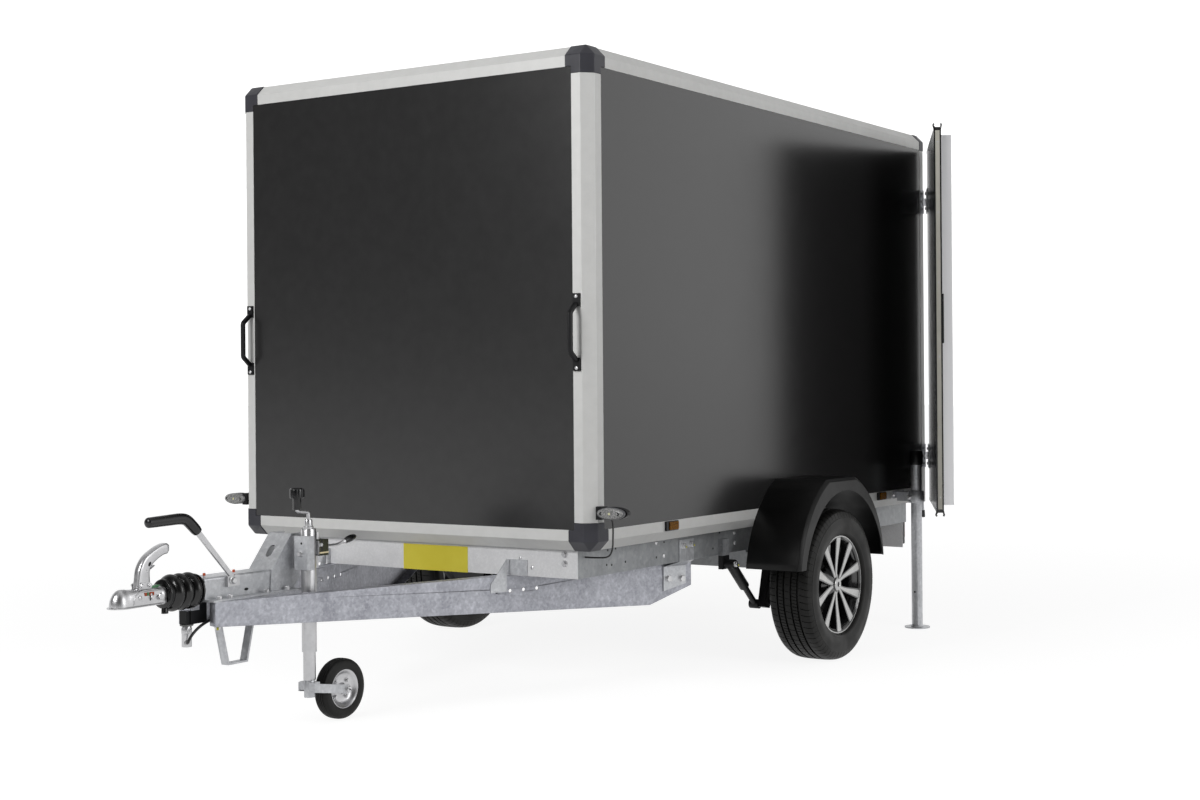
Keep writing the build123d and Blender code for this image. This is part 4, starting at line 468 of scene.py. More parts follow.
# %% Metals
galvanised = zinc(
    "galvanised", (0.44, 0.45, 0.47), (0.70, 0.71, 0.73), (0.36, 0.52), 120.0, 0.65, 0.12
)
galvanised_beam = zinc(
    "galvanised_beam", (0.27, 0.275, 0.31), (0.60, 0.61, 0.66), (0.36, 0.55), 130.0, 0.65, 0.12
)
rolled_sheet = zinc(
    "rolled_sheet", (0.74, 0.74, 0.75), (0.88, 0.88, 0.89), (0.38, 0.50), 220.0, 0.2, 0.08
)
under_steel = zinc(
    "under_steel", (0.26, 0.27, 0.28), (0.42, 0.43, 0.44), (0.45, 0.6), 70.0, 0.6
)
bright_zinc = zinc(
    "bright_zinc", (0.46, 0.46, 0.47), (0.60, 0.60, 0.61), (0.28, 0.38), 60.0, 0.95, 0.02
)
bolt_zinc = zinc(
    "bolt_zinc", (0.54, 0.54, 0.55), (0.72, 0.72, 0.73), (0.28, 0.40), 90.0, 0.85, 0.02
)
yellow_zinc = zinc(
    "yellow_zinc", (0.60, 0.50, 0.30), (0.80, 0.72, 0.50), (0.24, 0.36), 160.0, 1.0, 0.12
)
olive_zinc = zinc(
    "olive_zinc", (0.030, 0.032, 0.020), (0.085, 0.085, 0.050), (0.28, 0.40), 160.0, 0.8, 0.12
)
anodised = worked(
    "anodised", 0.15, (grain, 1400.0), (marks, 4.0, "Smudge"),
    (0.75, 0.75, 0.735), (0.79, 0.79, 0.775), (0.46, 0.54), 0.12, 0.35,
)
bright_bar = worked(
    "bright_bar", 0.7, (lines, 1.0), (lines, 1.0, "Tone"),
    (0.84, 0.84, 0.86), (0.95, 0.95, 0.96), (0.34, 0.42), 0.05,
)
machined = worked(
    "machined", 0.9, (grain, 1600.0), (grain, 1600.0, "Height"),
    (0.44, 0.44, 0.44), (0.52, 0.52, 0.51), (0.22, 0.36), 0.08,
)

# %% Plastics, rubber and paint
cap_plastic = moulded(
    "cap_plastic", (0.034, 0.034, 0.043), (0.046, 0.046, 0.057), (0.42, 0.52), specular=0.4
)
# Black plastic; the same black also stands for the painted shade inside holes and slots.
black_plastic = moulded(
    "black_plastic", (0.004, 0.004, 0.005), (0.008, 0.008, 0.009), (0.34, 0.46), specular=0.25
)
mudguard_plastic = moulded(
    "mudguard_plastic", (0.003, 0.003, 0.003), (0.006, 0.006, 0.006), (0.38, 0.46), 700.0,
    specular=0.22,
)
soft_rubber = moulded(
    "soft_rubber", (0.003, 0.003, 0.003), (0.006, 0.006, 0.006), (0.20, 0.30), 500.0, 0.12
)
tyre_rubber = moulded(
    "tyre_rubber", (0.007, 0.007, 0.0065), (0.013, 0.0125, 0.0115), (0.46, 0.62), 500.0, 0.4,
    specular=0.24,
)
gloss_black = moulded(
    "gloss_black", (0.006, 0.006, 0.007), (0.009, 0.009, 0.010), (0.18, 0.26), 300.0, 0.02,
    depth=0.0001, coat=1.0,
)
grip_black = moulded(
    "grip_black", (0.003, 0.003, 0.004), (0.006, 0.006, 0.007), (0.22, 0.32), 700.0, 0.12
)
cable_black = moulded(
    "cable_black", (0.007, 0.007, 0.007), (0.013, 0.013, 0.013), (0.34, 0.46), 800.0, 0.2
)
plate_white = moulded(
    "plate_white", (0.74, 0.74, 0.73), (0.79, 0.79, 0.78), (0.28, 0.36), 600.0, 0.1
)
label_film = moulded(
    "label_film", (0.70, 0.60, 0.05), (0.76, 0.66, 0.07), (0.34, 0.46), 500.0, 0.1, specular=0.3
)
cream_strip = moulded("cream_strip", (0.58, 0.56, 0.49), (0.64, 0.62, 0.55), (0.45, 0.55))
warning_red = moulded("warning_red", (0.55, 0.07, 0.02), (0.68, 0.12, 0.03), (0.35, 0.45))
safe_green = moulded("safe_green", (0.08, 0.30, 0.12), (0.12, 0.38, 0.17), (0.35, 0.45))
lamp_grey = moulded("lamp_grey", (0.10, 0.10, 0.11), (0.15, 0.15, 0.16), (0.30, 0.40))
paint_yellow = moulded("paint_yellow", (0.70, 0.66, 0.04), (0.80, 0.76, 0.08), (0.35, 0.5))
lamp_yellow = moulded("lamp_yellow", (0.74, 0.72, 0.38), (0.82, 0.80, 0.48), (0.2, 0.3))

# %% Shock absorbers
# Black paint up to the underside of the member, and the bare galvanised bracket above it.
SHOCK_PAINT_TOP = 0.437
SHOCK_PAINT = (0.006, 0.006, 0.0065)

shock_finish, tree, shader, place = finish_of("shock_finish", 0.0, 0.0, 0.25)
split = add(tree, "ShaderNodeSeparateXYZ")
tree.links.new(place, split.inputs[0])
bare = math(tree, "GREATER_THAN", split.outputs["Z"], SHOCK_PAINT_TOP)
flakes = use(tree, spangle, place, 120.0)
bare_tone = between(tree, flakes.outputs["Tone"], (0.20, 0.205, 0.215), (0.36, 0.365, 0.38))
tree.links.new(between(tree, bare, SHOCK_PAINT, bare_tone), shader.inputs["Base Color"])
tree.links.new(stretch(tree, flakes.outputs["Dull"], 0, 1, 0.38, 0.52), shader.inputs["Roughness"])

# %% Lenses
# A lens is clear plastic over tiny moulded cells: the cells tilt the surface and shade it a little.
CELLS = 220.0


def lens(name, dark, light, coat=0.35, specular=0.4):
    """Coloured or clear lens plastic with a cell pattern under a gloss coat."""
    made, tree, shader, place = finish_of(name, 0.0, coat, specular)
    shader.inputs["Coat Roughness"].default_value = 0.06
    cell = pattern(tree, "ShaderNodeTexVoronoi", place, CELLS, distance="CHEBYCHEV")
    shade = stretch(tree, cell.outputs["Distance"], 0.05, 0.55)
    tree.links.new(between(tree, shade, light, dark), shader.inputs["Base Color"])
    tree.links.new(stretch(tree, shade, 0, 1, 0.12, 0.24), shader.inputs["Roughness"])
    relief(tree, shader, cell.outputs["Distance"], 0.5, 0.0005)
    return made


clear_lens = lens("clear_lens", (0.20, 0.20, 0.20), (0.50, 0.50, 0.49))
amber_lens = lens(
    "amber_lens", (0.13, 0.052, 0.002), (0.50, 0.200, 0.004), coat=0.0, specular=0.06
)
red_lens = lens("red_lens", (0.14, 0.004, 0.004), (0.46, 0.018, 0.014), coat=0.15, specular=0.25)

# %% Panels
# Film-faced plywood: near black and finely grained outside, pale grey inside, brown on the floor.
panel_film = moulded(
    "panel_film", (0.0215, 0.0212, 0.0215), (0.0255, 0.0252, 0.0255), (0.235, 0.25), 1100.0, 0.30,
    depth=0.0001, specular=0.58,
)
inner_film = moulded("inner_film", (0.30, 0.30, 0.29), (0.36, 0.36, 0.35), (0.45, 0.55))
floor_film = moulded(
    "floor_film", (0.055, 0.035, 0.024), (0.085, 0.055, 0.036), (0.40, 0.55), 260.0, 0.6, 0.0006
)
print("materials", len(bpy.data.materials))

# %% [markdown]
# ## Finishes on the CAD nodes
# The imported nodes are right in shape, so they only need their sharp corners broken and a finish.
# Their meshes are loose triangles: a Weld modifier joins them, and a narrow Bevel on every corner
# sharper than 30 degrees then catches the light, as a rolled or moulded edge does.

# %% Corners and finishes
CAD_FINISHES = {
    "edge_profiles": (anodised, 0.9),
    "rear_frame": (anodised, 0.9),
    "corner_caps": (cap_plastic, 3.0),
    "front_panel": (panel_film, 0.3),
    "left_side_panel": (panel_film, 0.3),
    "right_side_panel": (panel_film, 0.3),
    "roof_panel": (panel_film, 0.3),
    "floor": (floor_film, 0.3),
    "left_door_leaf": (panel_film, 0.6),
    "right_door_leaf": (panel_film, 0.6),
    "left_lock_bar": (bright_bar, 1.2),
    "right_lock_bar": (bright_bar, 1.2),
    "right_lock_rod": (bright_zinc, 0.6),
    "left_hinge_straps": (galvanised, 1.0),
    "right_hinge_straps": (galvanised, 1.0),
    "hinge_brackets": (galvanised, 1.0),
    "chassis_frame": (under_steel, 0.8),
    "front_sheet": (rolled_sheet, 0.8),
    "drawbar_beams": (galvanised_beam, 1.6),
    "drawbar_brackets": (galvanised, 0.9),
    "overrun_housing": (galvanised, 1.6),
    "coupling_head": (bright_zinc, 2.0),
    "coupling_handle": (bright_zinc, 2.5),
    "handbrake": (bright_zinc, 1.2),
    "plug_holder": (black_plastic, 0.8),
    "plug": (bright_zinc, 1.0),
    "jockey_tube": (bright_zinc, 0.8),
    "jockey_shaft": (bright_zinc, 0.6),
    "jockey_fork": (galvanised, 0.8),
    "axle": (under_steel, 1.5),
    "trailing_arms": (black_plastic, 2.0),
    "brake_rod": (bolt_zinc, 0.5),
    "shock_absorbers": (shock_finish, 0.6),
    "mudguards": (mudguard_plastic, 1.0),
    "left_rim": (gloss_black, 0.6),
    "right_rim": (gloss_black, 0.6),
    "left_tyre": (tyre_rubber, 1.0),
    "right_tyre": (tyre_rubber, 1.0),
    "jockey_wheel": (tyre_rubber, 1.0),
    "bellows": (soft_rubber, 1.0),
    "left_leg": (galvanised, 0.8),
    "right_leg": (galvanised, 0.8),
    "leg_clamps": (galvanised, 1.0),
    "lamp_board": (rolled_sheet, 0.8),
    "rear_lamps": (black_plastic, 1.5),
    "front_markers": (black_plastic, 1.2),
    "side_markers": (black_plastic, 1.0),
    "grab_handles": (black_plastic, 1.2),
}


def soften_edges(item, width):
    """A narrow bevel, in millimetres, on corners over 30 degrees."""
    bevel = item.modifiers.new("bevel", "BEVEL")
    bevel.width = width / 1000
    bevel.segments = 2
    bevel.limit_method = "ANGLE"
    bevel.angle_limit = radians(30)
    bevel.harden_normals = True


for name, (material, width) in CAD_FINISHES.items():
    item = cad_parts[name]
    item.data.materials.clear()
    item.data.materials.append(material)
    item.modifiers.new("weld", "WELD").merge_threshold = 0.00002
    soften_edges(item, width)
print("nodes without a finish", sorted(set(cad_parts) - set(CAD_FINISHES)))

# %% [markdown]
# ## Shapes as grids of numbers
# Every new piece below is a grid: rings of points, one after another, joined by quads. Turning a
# profile about an axis, stacking outlines and carrying a section along a path all give such rings,
# so one small function can skin them all. Working on whole arrays keeps it fast and short.


# %% Skin
def skin(rings, capped=True):
    """A shape from rings[n, m, 3]: quads between neighbouring rings, and a flat cap on each end."""
    count, around = rings.shape[:2]
    start = np.arange(count - 1)[:, None] * around
    here = np.arange(around)[None, :]
    after = (here + 1) % around
    ahead = start + around
    quads = np.stack([start + here, start + after, ahead + after, ahead + here], -1)
    faces = quads.reshape(-1, 4).tolist()
    if capped:
        first = np.arange(around)
        faces += [first[::-1].tolist(), (first + (count - 1) * around).tolist()]
    return rings.reshape(-1, 3), faces


def closed_skin(rings):
    """A shape from rings[n, m, 3] that joins its last ring to its first, such as a tyre."""
    points, faces = skin(np.concatenate([rings, rings[:1]]), capped=False)
    count = rings.shape[0] * rings.shape[1]
    wrapped = (np.array(faces) % count).tolist()
    return points[:count], wrapped


def turned_rings(profile, around):
    """A profile of (radius, height) rows turned about Z: x = r cos a, y = r sin a, z = height."""
    profile = np.asarray(profile, float)
    angle = np.arange(around) * 2 * pi / around
    circle = np.stack([np.cos(angle), np.sin(angle), np.zeros(around)], -1)
    up = np.array([0, 0, 1.0])
    return profile[:, 0, None, None] * circle + profile[:, 1, None, None] * up


def turned(profile, around=48):
    """A profile that starts and ends on the axis, or is capped there, turned about Z."""
    return skin(turned_rings(profile, around))


def closed_turned(profile, around=48):
    """A closed profile turned about Z, as a ring with a hole."""
    return closed_skin(turned_rings(profile, around))


def stacked(outline, heights):
    """A flat outline of (x, y) rows repeated at each height, or at each (height, scale)."""
    outline = np.asarray(outline, float)
    rows = np.array([(h, 1.0) if np.isscalar(h) else h for h in heights], float)
    flat = np.c_[outline, np.zeros(len(outline))]
    up = np.array([0, 0, 1.0])
    return skin(rows[:, 1, None, None] * flat + rows[:, 0, None, None] * up)


def laid(shape, origin, right, up):
    """A shape carried so that its x runs along right, its z along up and its zero is at origin."""
    z = np.asarray(up, float) / np.linalg.norm(up)
    x = np.asarray(right, float)
    x = x - z * (x @ z)
    x = x / np.linalg.norm(x)
    frame_rows = np.array([x, np.cross(z, x), z])
    return np.asarray(shape[0]) @ frame_rows + np.asarray(origin, float), shape[1]


def copies(shape, shifts):
    """The same shape at each of the shifts, as one shape."""
    points, faces = shape
    shifts = np.asarray(shifts, float)
    moved = (points[None] + shifts[:, None]).reshape(-1, 3)
    count = len(points)
    repeated = [[c + k * count for c in face] for k in range(len(shifts)) for face in faces]
    return moved, repeated


def joined(*shapes):
    """Several shapes as one."""
    points, faces, base = [], [], 0
    for shape_points, shape_faces in shapes:
        points.append(shape_points)
        faces += [[corner + base for corner in face] for face in shape_faces]
        base += len(shape_points)
    return np.concatenate(points), faces


def swept(path, section, side):
    """A section of (across, out) rows carried along a path; side is square to the whole path."""
    path, section = np.asarray(path, float), np.asarray(section, float)
    way = np.gradient(path, axis=0)
    way /= np.linalg.norm(way, axis=1)[:, None]
    side = np.asarray(side, float) / np.linalg.norm(side)
    out = np.cross(way, side)
    if section.ndim == 2:
        section = np.repeat(section[None], len(path), 0)
    rings = path[:, None] + section[..., :1] * side + section[..., 1:] * out[:, None]
    return skin(rings)


def ring_of(radius, around=20, squash=1.0):
    """A round or flattened outline of (x, y) rows."""
    angle = np.arange(around) * 2 * pi / around
    return np.stack([radius * np.cos(angle), radius * squash * np.sin(angle)], -1)


def ribbed(crest, valley, count):
    """A round outline whose radius goes from valley to crest and back, for knurls and grip ribs."""
    angle = np.arange(count) * 2 * pi / count
    radius = np.where(np.arange(count) % 2, crest, valley)
    return np.stack([radius * np.cos(angle), radius * np.sin(angle)], -1)


def smooth_path(corners, steps=12):
    """A curve through the corners: Catmull-Rom, which passes each with its neighbours' slope."""
    corners = np.asarray(corners, float)
    held = np.concatenate([[2 * corners[0] - corners[1]], corners, [2 * corners[-1] - corners[-2]]])
    t = np.arange(steps)[:, None] / steps
    before, start, end, after = held[:-3], held[1:-2], held[2:-1], held[3:]
    parts = []
    for a, b, c, d in zip(before, start, end, after):
        square, cube = (2 * a - 5 * b + 4 * c - d) * t**2, (3 * b - a - 3 * c + d) * t**3
        parts.append(0.5 * (2 * b + (c - a) * t + square + cube))
    return np.concatenate([*parts, corners[-1:]])


def piece(name, body, rows, smooth=35, bevel=0.0):
    """One object from (shape, material) rows, with doubles merged and faces outwards, on a body."""
    mesh = bpy.data.meshes.new(name)
    finishes = []
    for _, material in rows:
        if material not in finishes:
            finishes.append(material)
    points, faces = joined(*[shape for shape, _ in rows])
    mesh.from_pydata(points.tolist(), [], faces)
    numbers = np.concatenate([np.full(len(shape[1]), finishes.index(m)) for shape, m in rows])
    mesh.polygons.foreach_set("material_index", numbers.astype(np.int32))
    for material in finishes:
        mesh.materials.append(material)
    work = bmesh.new()
    work.from_mesh(mesh)
    bmesh.ops.remove_doubles(work, verts=work.verts, dist=1e-6)
    bmesh.ops.recalc_face_normals(work, faces=work.faces)
    work.to_mesh(mesh)
    work.free()
    mesh.shade_smooth()
    mesh.set_sharp_from_angle(angle=radians(smooth))
    item = bpy.data.objects.new(name, mesh)
    bpy.context.scene.collection.objects.link(item)
    if bevel:
        soften_edges(item, bevel)
    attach(item, body)
    print(name, "triangles", sum(len(f) - 2 for f in faces))
    return item


# %% Small shapes
X_AXIS, Y_AXIS, Z_AXIS = (1, 0, 0), (0, 1, 0), (0, 0, 1)
FORWARD = (0, -1, 0)


def bolt_head(across, tall, washer=0.0):
    """A hexagon head with a chamfered top on an optional washer, standing on Z."""
    rim = across / 2 / np.cos(pi / 6)
    rows = turned([(0, 0), (rim, 0), (rim, tall * 0.82), (rim * 0.86, tall), (0, tall)], 6)
    if not washer:
        return rows
    disc = turned([(0, -0.2), (washer, -0.2), (washer, 1.6), (washer - 0.6, 2.0), (0, 2.0)], 24)
    return joined((rows[0] + (0, 0, 1.9), rows[1]), disc)


def dome_head(radius, tall):
    """A button or rivet head: r = radius cos t, z = tall sin t."""
    t = np.linspace(0, pi / 2, 6)
    return turned([(0, -0.3), *np.c_[radius * np.cos(t), tall * np.sin(t)]], 20)


def box_shape(low, high):
    """A box between two corners."""
    low, high = np.asarray(low, float), np.asarray(high, float)
    corners = np.array([(low[0], low[1]), (high[0], low[1]), (high[0], high[1]), (low[0], high[1])])
    return skin(np.stack([np.c_[corners, np.full(4, z)] for z in (low[2], high[2])]))


def in_place(shape):
    """A shape drawn in millimetres, counted from the front face, carried to metres in the frame."""
    return shape[0] / 1000 + (0, FRONT, 0), shape[1]


def build(name, body, rows, smooth=35, bevel=0.0):
    """piece() for rows drawn in millimetres from the front face."""
    rows = [(in_place(shape), material) for shape, material in rows]
    return piece(name, body, rows, smooth, bevel)


def facing(shape, place, outward, right=Y_AXIS):
    """A part that stands on Z, set at place and pointing outward."""
    return laid(shape, place, right, outward)


# %% [markdown]
# ## Road tyres
# A tyre is a ring whose tread is cut by four grooves round it and by slanted cuts across it.
# Boolean cuts would be slow and rough. Here one closed profile goes round the wheel, and wherever
# a point lies in a groove or a cut, its radius is simply smaller. The columns of the grid are
# placed on the groove edges, and each step of the pattern repeats the same few angles, so every
# wall comes out sharp. The grid leans as it crosses the tread, which slants the cuts.

# %% Tyre profile
WHEEL_X, AXLE_PLACE, WHEEL_RADIUS = 930, 1425, 298
WHEEL_CENTRE = {side: mm(side * WHEEL_X, AXLE_PLACE, WHEEL_RADIUS) for side in (1, -1)}
TREAD_HALF = 82
GROOVES = (-43.0, -15.5, 15.5, 43.0)
GROOVE_HALF, GROOVE_WALL, GROOVE_DEPTH = 3.2, 0.9, 7.0
PITCHES = 70

columns = np.linspace(-TREAD_HALF, TREAD_HALF, 42)
between_grooves = [x for x in columns if min(abs(x - g) for g in GROOVES) > GROOVE_HALF + 2]
groove_sides = [side * w for side in (-1, 1) for w in (GROOVE_HALF, GROOVE_HALF + GROOVE_WALL)]
edges = [g + offset for g in GROOVES for offset in groove_sides]
tread_x = np.array(sorted(between_grooves + edges))
CROWN = np.array([(0, 298), (30, 297.7), (52, 296.6), (66, 294.6), (75, 291.2), (82, 286)], float)
tread_r = np.interp(np.abs(tread_x), CROWN[:, 0], CROWN[:, 1])
WALL_SIDE = np.array(
    [(82, 286), (86, 278), (88.8, 270), (90, 264), (91.4, 263), (91.8, 258), (92.6, 250), (94, 240)]
    + [(93.9, 232), (92.5, 222), (90.6, 213), (89.4, 208), (89.2, 205), (86, 199.5), (81, 196.2)]
    + [(76.8, 194.6), (70.2, 194.4), (69.8, 192), (69.8, 178.2), (50, 178.2), (56, 192), (72, 212)]
    + [(82, 238), (76, 264), (58, 281), (0, 286)],
    float,
)
half_loop = WALL_SIDE[1:-1]
profile = np.concatenate(
    [np.c_[tread_x, tread_r], half_loop, WALL_SIDE[-1:], half_loop[::-1] * (-1, 1)]
)
depth_here = np.zeros(len(profile))
in_groove = np.min(np.abs(profile[:, :1] - np.array(GROOVES)), 1) <= GROOVE_HALF + 1e-6
outside = profile[:, 1] > 283
depth_here[in_groove & outside] = GROOVE_DEPTH

# %% Tread pattern
# Each row marks which of one pitch's angles lie in a cut. Shoulder cuts also notch the wall.
PITCH_STEPS = np.array([0.0, 0.025, 0.085, 0.11, 0.4, 0.52, 0.545, 0.585, 0.61, 0.8])
WIDE_CUT = np.array([0, 1, 1, 0, 0, 0, 0, 0, 0, 0])
THIN_CUT = np.array([0, 1, 1, 0, 0, 0, 1, 1, 0, 0])
width = np.abs(profile[:, 0])
wide_depth = np.where(outside & (width > 50) & (width < 83), 5.0, 0)
wide_depth = np.where((width >= 82) & (profile[:, 1] > 268), 2.4, wide_depth)
thin_depth = np.where(outside & (width > 19) & (width < 40), 3.6, 0)
centre_depth = np.where(outside & (width < 12), 2.0, 0)
cut = np.outer(WIDE_CUT, wide_depth + centre_depth) + np.outer(THIN_CUT, thin_depth)
radius = profile[:, 1] - np.maximum(np.tile(cut, (PITCHES, 1)), depth_here)
angle = ((np.arange(PITCHES)[:, None] + PITCH_STEPS) * 2 * pi / PITCHES).reshape(-1, 1)
share_out = profile[:, 0] / TREAD_HALF
lean = 0.05 * np.clip(share_out, -1, 1) + 0.03 * np.clip(np.abs(share_out) - 0.5, 0, 1)


def road_tyre(name, side, node, body):
    """Tyre points: x = across, y = r cos a, z = r sin a, about the wheel's centre."""
    turn = side * (angle + lean)
    across = np.broadcast_to(profile[:, 0] * side, radius.shape)
    rings = np.stack([across, radius * np.cos(turn), radius * np.sin(turn)], -1) / 1000
    shape = closed_skin(rings.transpose(1, 0, 2))
    made = piece(name, body, [((shape[0] + WHEEL_CENTRE[side], shape[1]), tyre_rubber)], smooth=24)
    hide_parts(node)


road_tyre("left_tread", 1, "left_tyre", "left_wheel")
road_tyre("right_tread", -1, "right_tyre", "right_wheel")

# %% [markdown]
# ## Alloy rims
# A rim is cast, painted gloss black, and then its front is cut on a lathe, so only the foremost
# faces are bare and bright: a thin lip and ten spokes that leave the hub in pairs. Each spoke is a
# stack of outlines from hub to lip. Its bright face is a thin plate on a wider black body, as
# where the cut and the painted surfaces meet on a real one.

# %% Rim
FACE_X = (64.0, 73.5)
SPOKES, SPOKE_FROM, SPOKE_TO = 10, 31.0, 187.5
BOLTS, BOLT_CIRCLE_RADIUS = 5, 50


def spoke(number, half_root, half_tip, back, front, share=1.0):
    """One spoke as sections across its run: angle = 36 n + pair lean, wider towards the lip."""
    t = np.linspace(0, 1, 15)
    reach = SPOKE_FROM + (SPOKE_TO - SPOKE_FROM) * t
    pair = 1 if number % 2 else -1
    middle = radians(36 * number + 18) - pair * radians(9.5) * (1 - t) ** 2.2
    half_width = half_root + (half_tip - half_root) * t**1.25
    face = FACE_X[0] + (FACE_X[1] - FACE_X[0]) * t**1.4
    corners = [(-1, front), (1, front), (share, back), (-share, back)]
    rings = []
    for sign, depth in corners:
        spread = sign * half_width
        y = reach * np.cos(middle) - spread * np.sin(middle)
        z = reach * np.sin(middle) + spread * np.cos(middle)
        rings.append(np.stack([face + depth, y, z], -1))
    return skin(np.stack(rings, 1))


def along_x(profile, around=96):
    """A closed profile of (radius, x) rows turned about X."""
    profile = np.array(profile, float)
    circle = np.arange(around) * 2 * pi / around
    ring = np.stack([np.zeros(around), np.cos(circle), np.sin(circle)], -1)
    ahead = np.array([1.0, 0, 0])
    return closed_skin(profile[:, 0, None, None] * ring + profile[:, 1, None, None] * ahead)


def alloy_rim(name, side, node, body):
    """Barrel, lip, ten spokes, boss, cap and five bolts, about the wheel's centre."""
    barrel = [(193.6, 71), (193.8, 75.2), (192.4, 76), (187.6, 76), (185.2, 73.6), (178, 66)]
    barrel += [(171, 52), (163, 20), (161, -30), (171, -60), (176, -76), (193.6, -76)]
    barrel += [(193.8, -71), (177.4, -69), (177.4, -60), (168, -30), (169, 16), (177.4, 60)]
    barrel += [(177.4, 69)]
    lip = [(192.6, 75.6), (191.9, 76.7), (188.2, 76.7), (187.4, 75.6)]
    rows = [(along_x(barrel), gloss_black), (along_x(lip), machined)]
    rows += [(spoke(n, 8.5, 21, -24, -0.8, 1.12), gloss_black) for n in range(SPOKES)]
    rows += [(spoke(n, 4.6, 15.5, -1.0, 0.0), machined) for n in range(SPOKES)]
    boss = turned([(0, 20), (78, 20), (78, 34), (66, 46), (40, 60), (33, 62), (0, 62)], 60)
    cap = [(0, 66), (8, 66), (8.6, 67), (9.5, 70.6), (11, 72), (21.5, 71), (25.6, 68), (26, 60)]
    cap = turned([*cap, (0, 60)], 48)
    dark = turned([(0, 69.2), (9.2, 69.2), (9.2, 66), (0, 66)], 40)
    middle = (0, 0, 0)
    rows.append((facing(boss, middle, X_AXIS), gloss_black))
    rows.append((facing(cap, middle, X_AXIS), machined))
    rows.append((facing(dark, middle, X_AXIS), black_plastic))
    head = joined(
        turned([(0, 44), (9.5, 44), (9.5, 46), (0, 46)], 24),
        turned([(0, 45), (8.2, 45), (8.2, 54), (7.2, 55), (0, 55)], 6),
    )
    turn = radians(36) + np.arange(BOLTS) * 2 * pi / BOLTS
    around = BOLT_CIRCLE_RADIUS * np.stack([np.zeros(BOLTS), np.cos(turn), np.sin(turn)], -1)
    rows.append((copies(facing(head, middle, X_AXIS), around), bolt_zinc))
    scale = (side / 1000, 0.001, 0.001)
    placed = [
        ((points * scale + WHEEL_CENTRE[side], faces), material)
        for (points, faces), material in rows
    ]
    made = piece(name, body, placed, smooth=32, bevel=0.35)
    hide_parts(node)


alloy_rim("left_alloy", 1, "left_rim", "left_wheel")
alloy_rim("right_alloy", -1, "right_rim", "right_wheel")

# %% [markdown]
# ## Coupling head
# The head is pressed from thick sheet: a round dome over the towing ball runs back into a long
# body whose cross section gets squarer, with a turned-out rim all the way round its foot. A
# superellipse, |x/a|^n + |z/h|^n = 1, covers both: n = 2 is round and a larger n is squarer, so
# the sections only need a half width, a height and an n that change along the length.

# %% Head shell
HEAD_FOOT, CUP, HEAD_BACK = 452.0, -1273.0, -1118.0
HEAD_HALF, NECK_IN = 30.8, 5.0
SHAFT_Z = 476

nose_run = CUP - 30.6 * np.cos(np.linspace(0.02, pi / 2, 14))
along = np.concatenate([nose_run, np.linspace(CUP + 5, HEAD_BACK, 26)])
back = np.clip((along - CUP) / (HEAD_BACK - CUP), 0, 1)
dome = np.sqrt(np.clip(1 - np.clip((CUP - along) / HEAD_HALF, 0, 1) ** 2, 0, 1))
half_width = dome * (HEAD_HALF - NECK_IN * back)
crown_height = dome**0.8 * (50.0 + 4.0 * np.exp(-(((along + 1268) / 22) ** 2)) - 1.5 * back)
power = 2.1 + 2.6 * np.clip((along + 1262) / 40, 0, 1)
turn = np.linspace(0, pi, 33)[None, :]
arch_x = half_width[:, None] * np.sign(np.cos(turn)) * np.abs(np.cos(turn)) ** (2 / power[:, None])
arch_z = crown_height[:, None] * np.sin(turn) ** (2 / power[:, None])
shell = np.stack([arch_x, np.broadcast_to(along[:, None], arch_x.shape), HEAD_FOOT + arch_z], -1)
head_shell = skin(shell)


def rim_ring(grow, z, count=24):
    """The foot's outline at a height: a round nose, then sides that close in to the bellows."""
    nose = pi + np.linspace(0, pi, count)
    radius = HEAD_HALF + grow
    neck = HEAD_HALF - NECK_IN + grow
    arc = np.stack([radius * np.cos(nose), CUP + radius * np.sin(nose)], -1)
    outline = np.concatenate([arc, [(neck, HEAD_BACK - 14), (-neck, HEAD_BACK - 14)]])
    return np.c_[outline, np.full(len(outline), z)]


# (growth, height) rows, from the hollow inside the cup, round the rim's edge and into the shell
FOOT_RIM = [(-6, 452.5), (-4.5, 450.2), (5.2, 450.4), (6.4, 451.6), (6.6, 453.0), (5.6, 454.2)]
FOOT_RIM += [(1.0, 454.4), (-0.5, 456.5)]
foot_rim = skin(np.stack([rim_ring(grow, z) for grow, z in FOOT_RIM]))


def head_trim(side):
    """The pressed bead that frames each flat side of the head."""
    corners = [(-1246, 458), (-1243, 474), (-1232, 488), (-1205, 497), (-1160, 496), (-1130, 489)]
    bead = smooth_path([(0, y, z) for y, z in corners], 8)
    t = np.clip((bead[:, 1] - CUP) / (HEAD_BACK - CUP), 0, 1)
    bead[:, 0] = side * (30.0 - 4.6 * t - 3.2 * np.clip((bead[:, 2] - 480) / 17, 0, 1))
    return swept(bead, ring_of(1.9, 10), (side, 0, 0))


rows = [(head_shell, bright_zinc), (foot_rim, bright_zinc)]
for side in (1, -1):
    rows.append((head_trim(side), bright_zinc))
    out = (side, 0, 0)
    rows.append((facing(bolt_head(17, 9, 11), (side * 24.5, -1146, 474), out), bolt_zinc))
    rows.append((facing(dome_head(7, 4), (side * 28.0, -1222, 478), out), bolt_zinc))
    rows.append((facing(bolt_head(10, 6, 7), (side * 26.6, -1178, 475), out), bolt_zinc))
shaft = turned([(0, 0), (25, 0), (25, 133), (0, 133)], 40)
rows.append((facing(shaft, (0, HEAD_BACK, SHAFT_Z), Y_AXIS, X_AXIS), bright_zinc))
collar = turned([(0, -4), (27, -4), (29, 0), (29, 12), (27, 16), (0, 16)], 40)
rows.append((facing(collar, (0, HEAD_BACK - 16, SHAFT_Z), Y_AXIS, X_AXIS), bright_zinc))
head = build("head_pressing", "chassis", rows, smooth=40)
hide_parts("coupling_head")

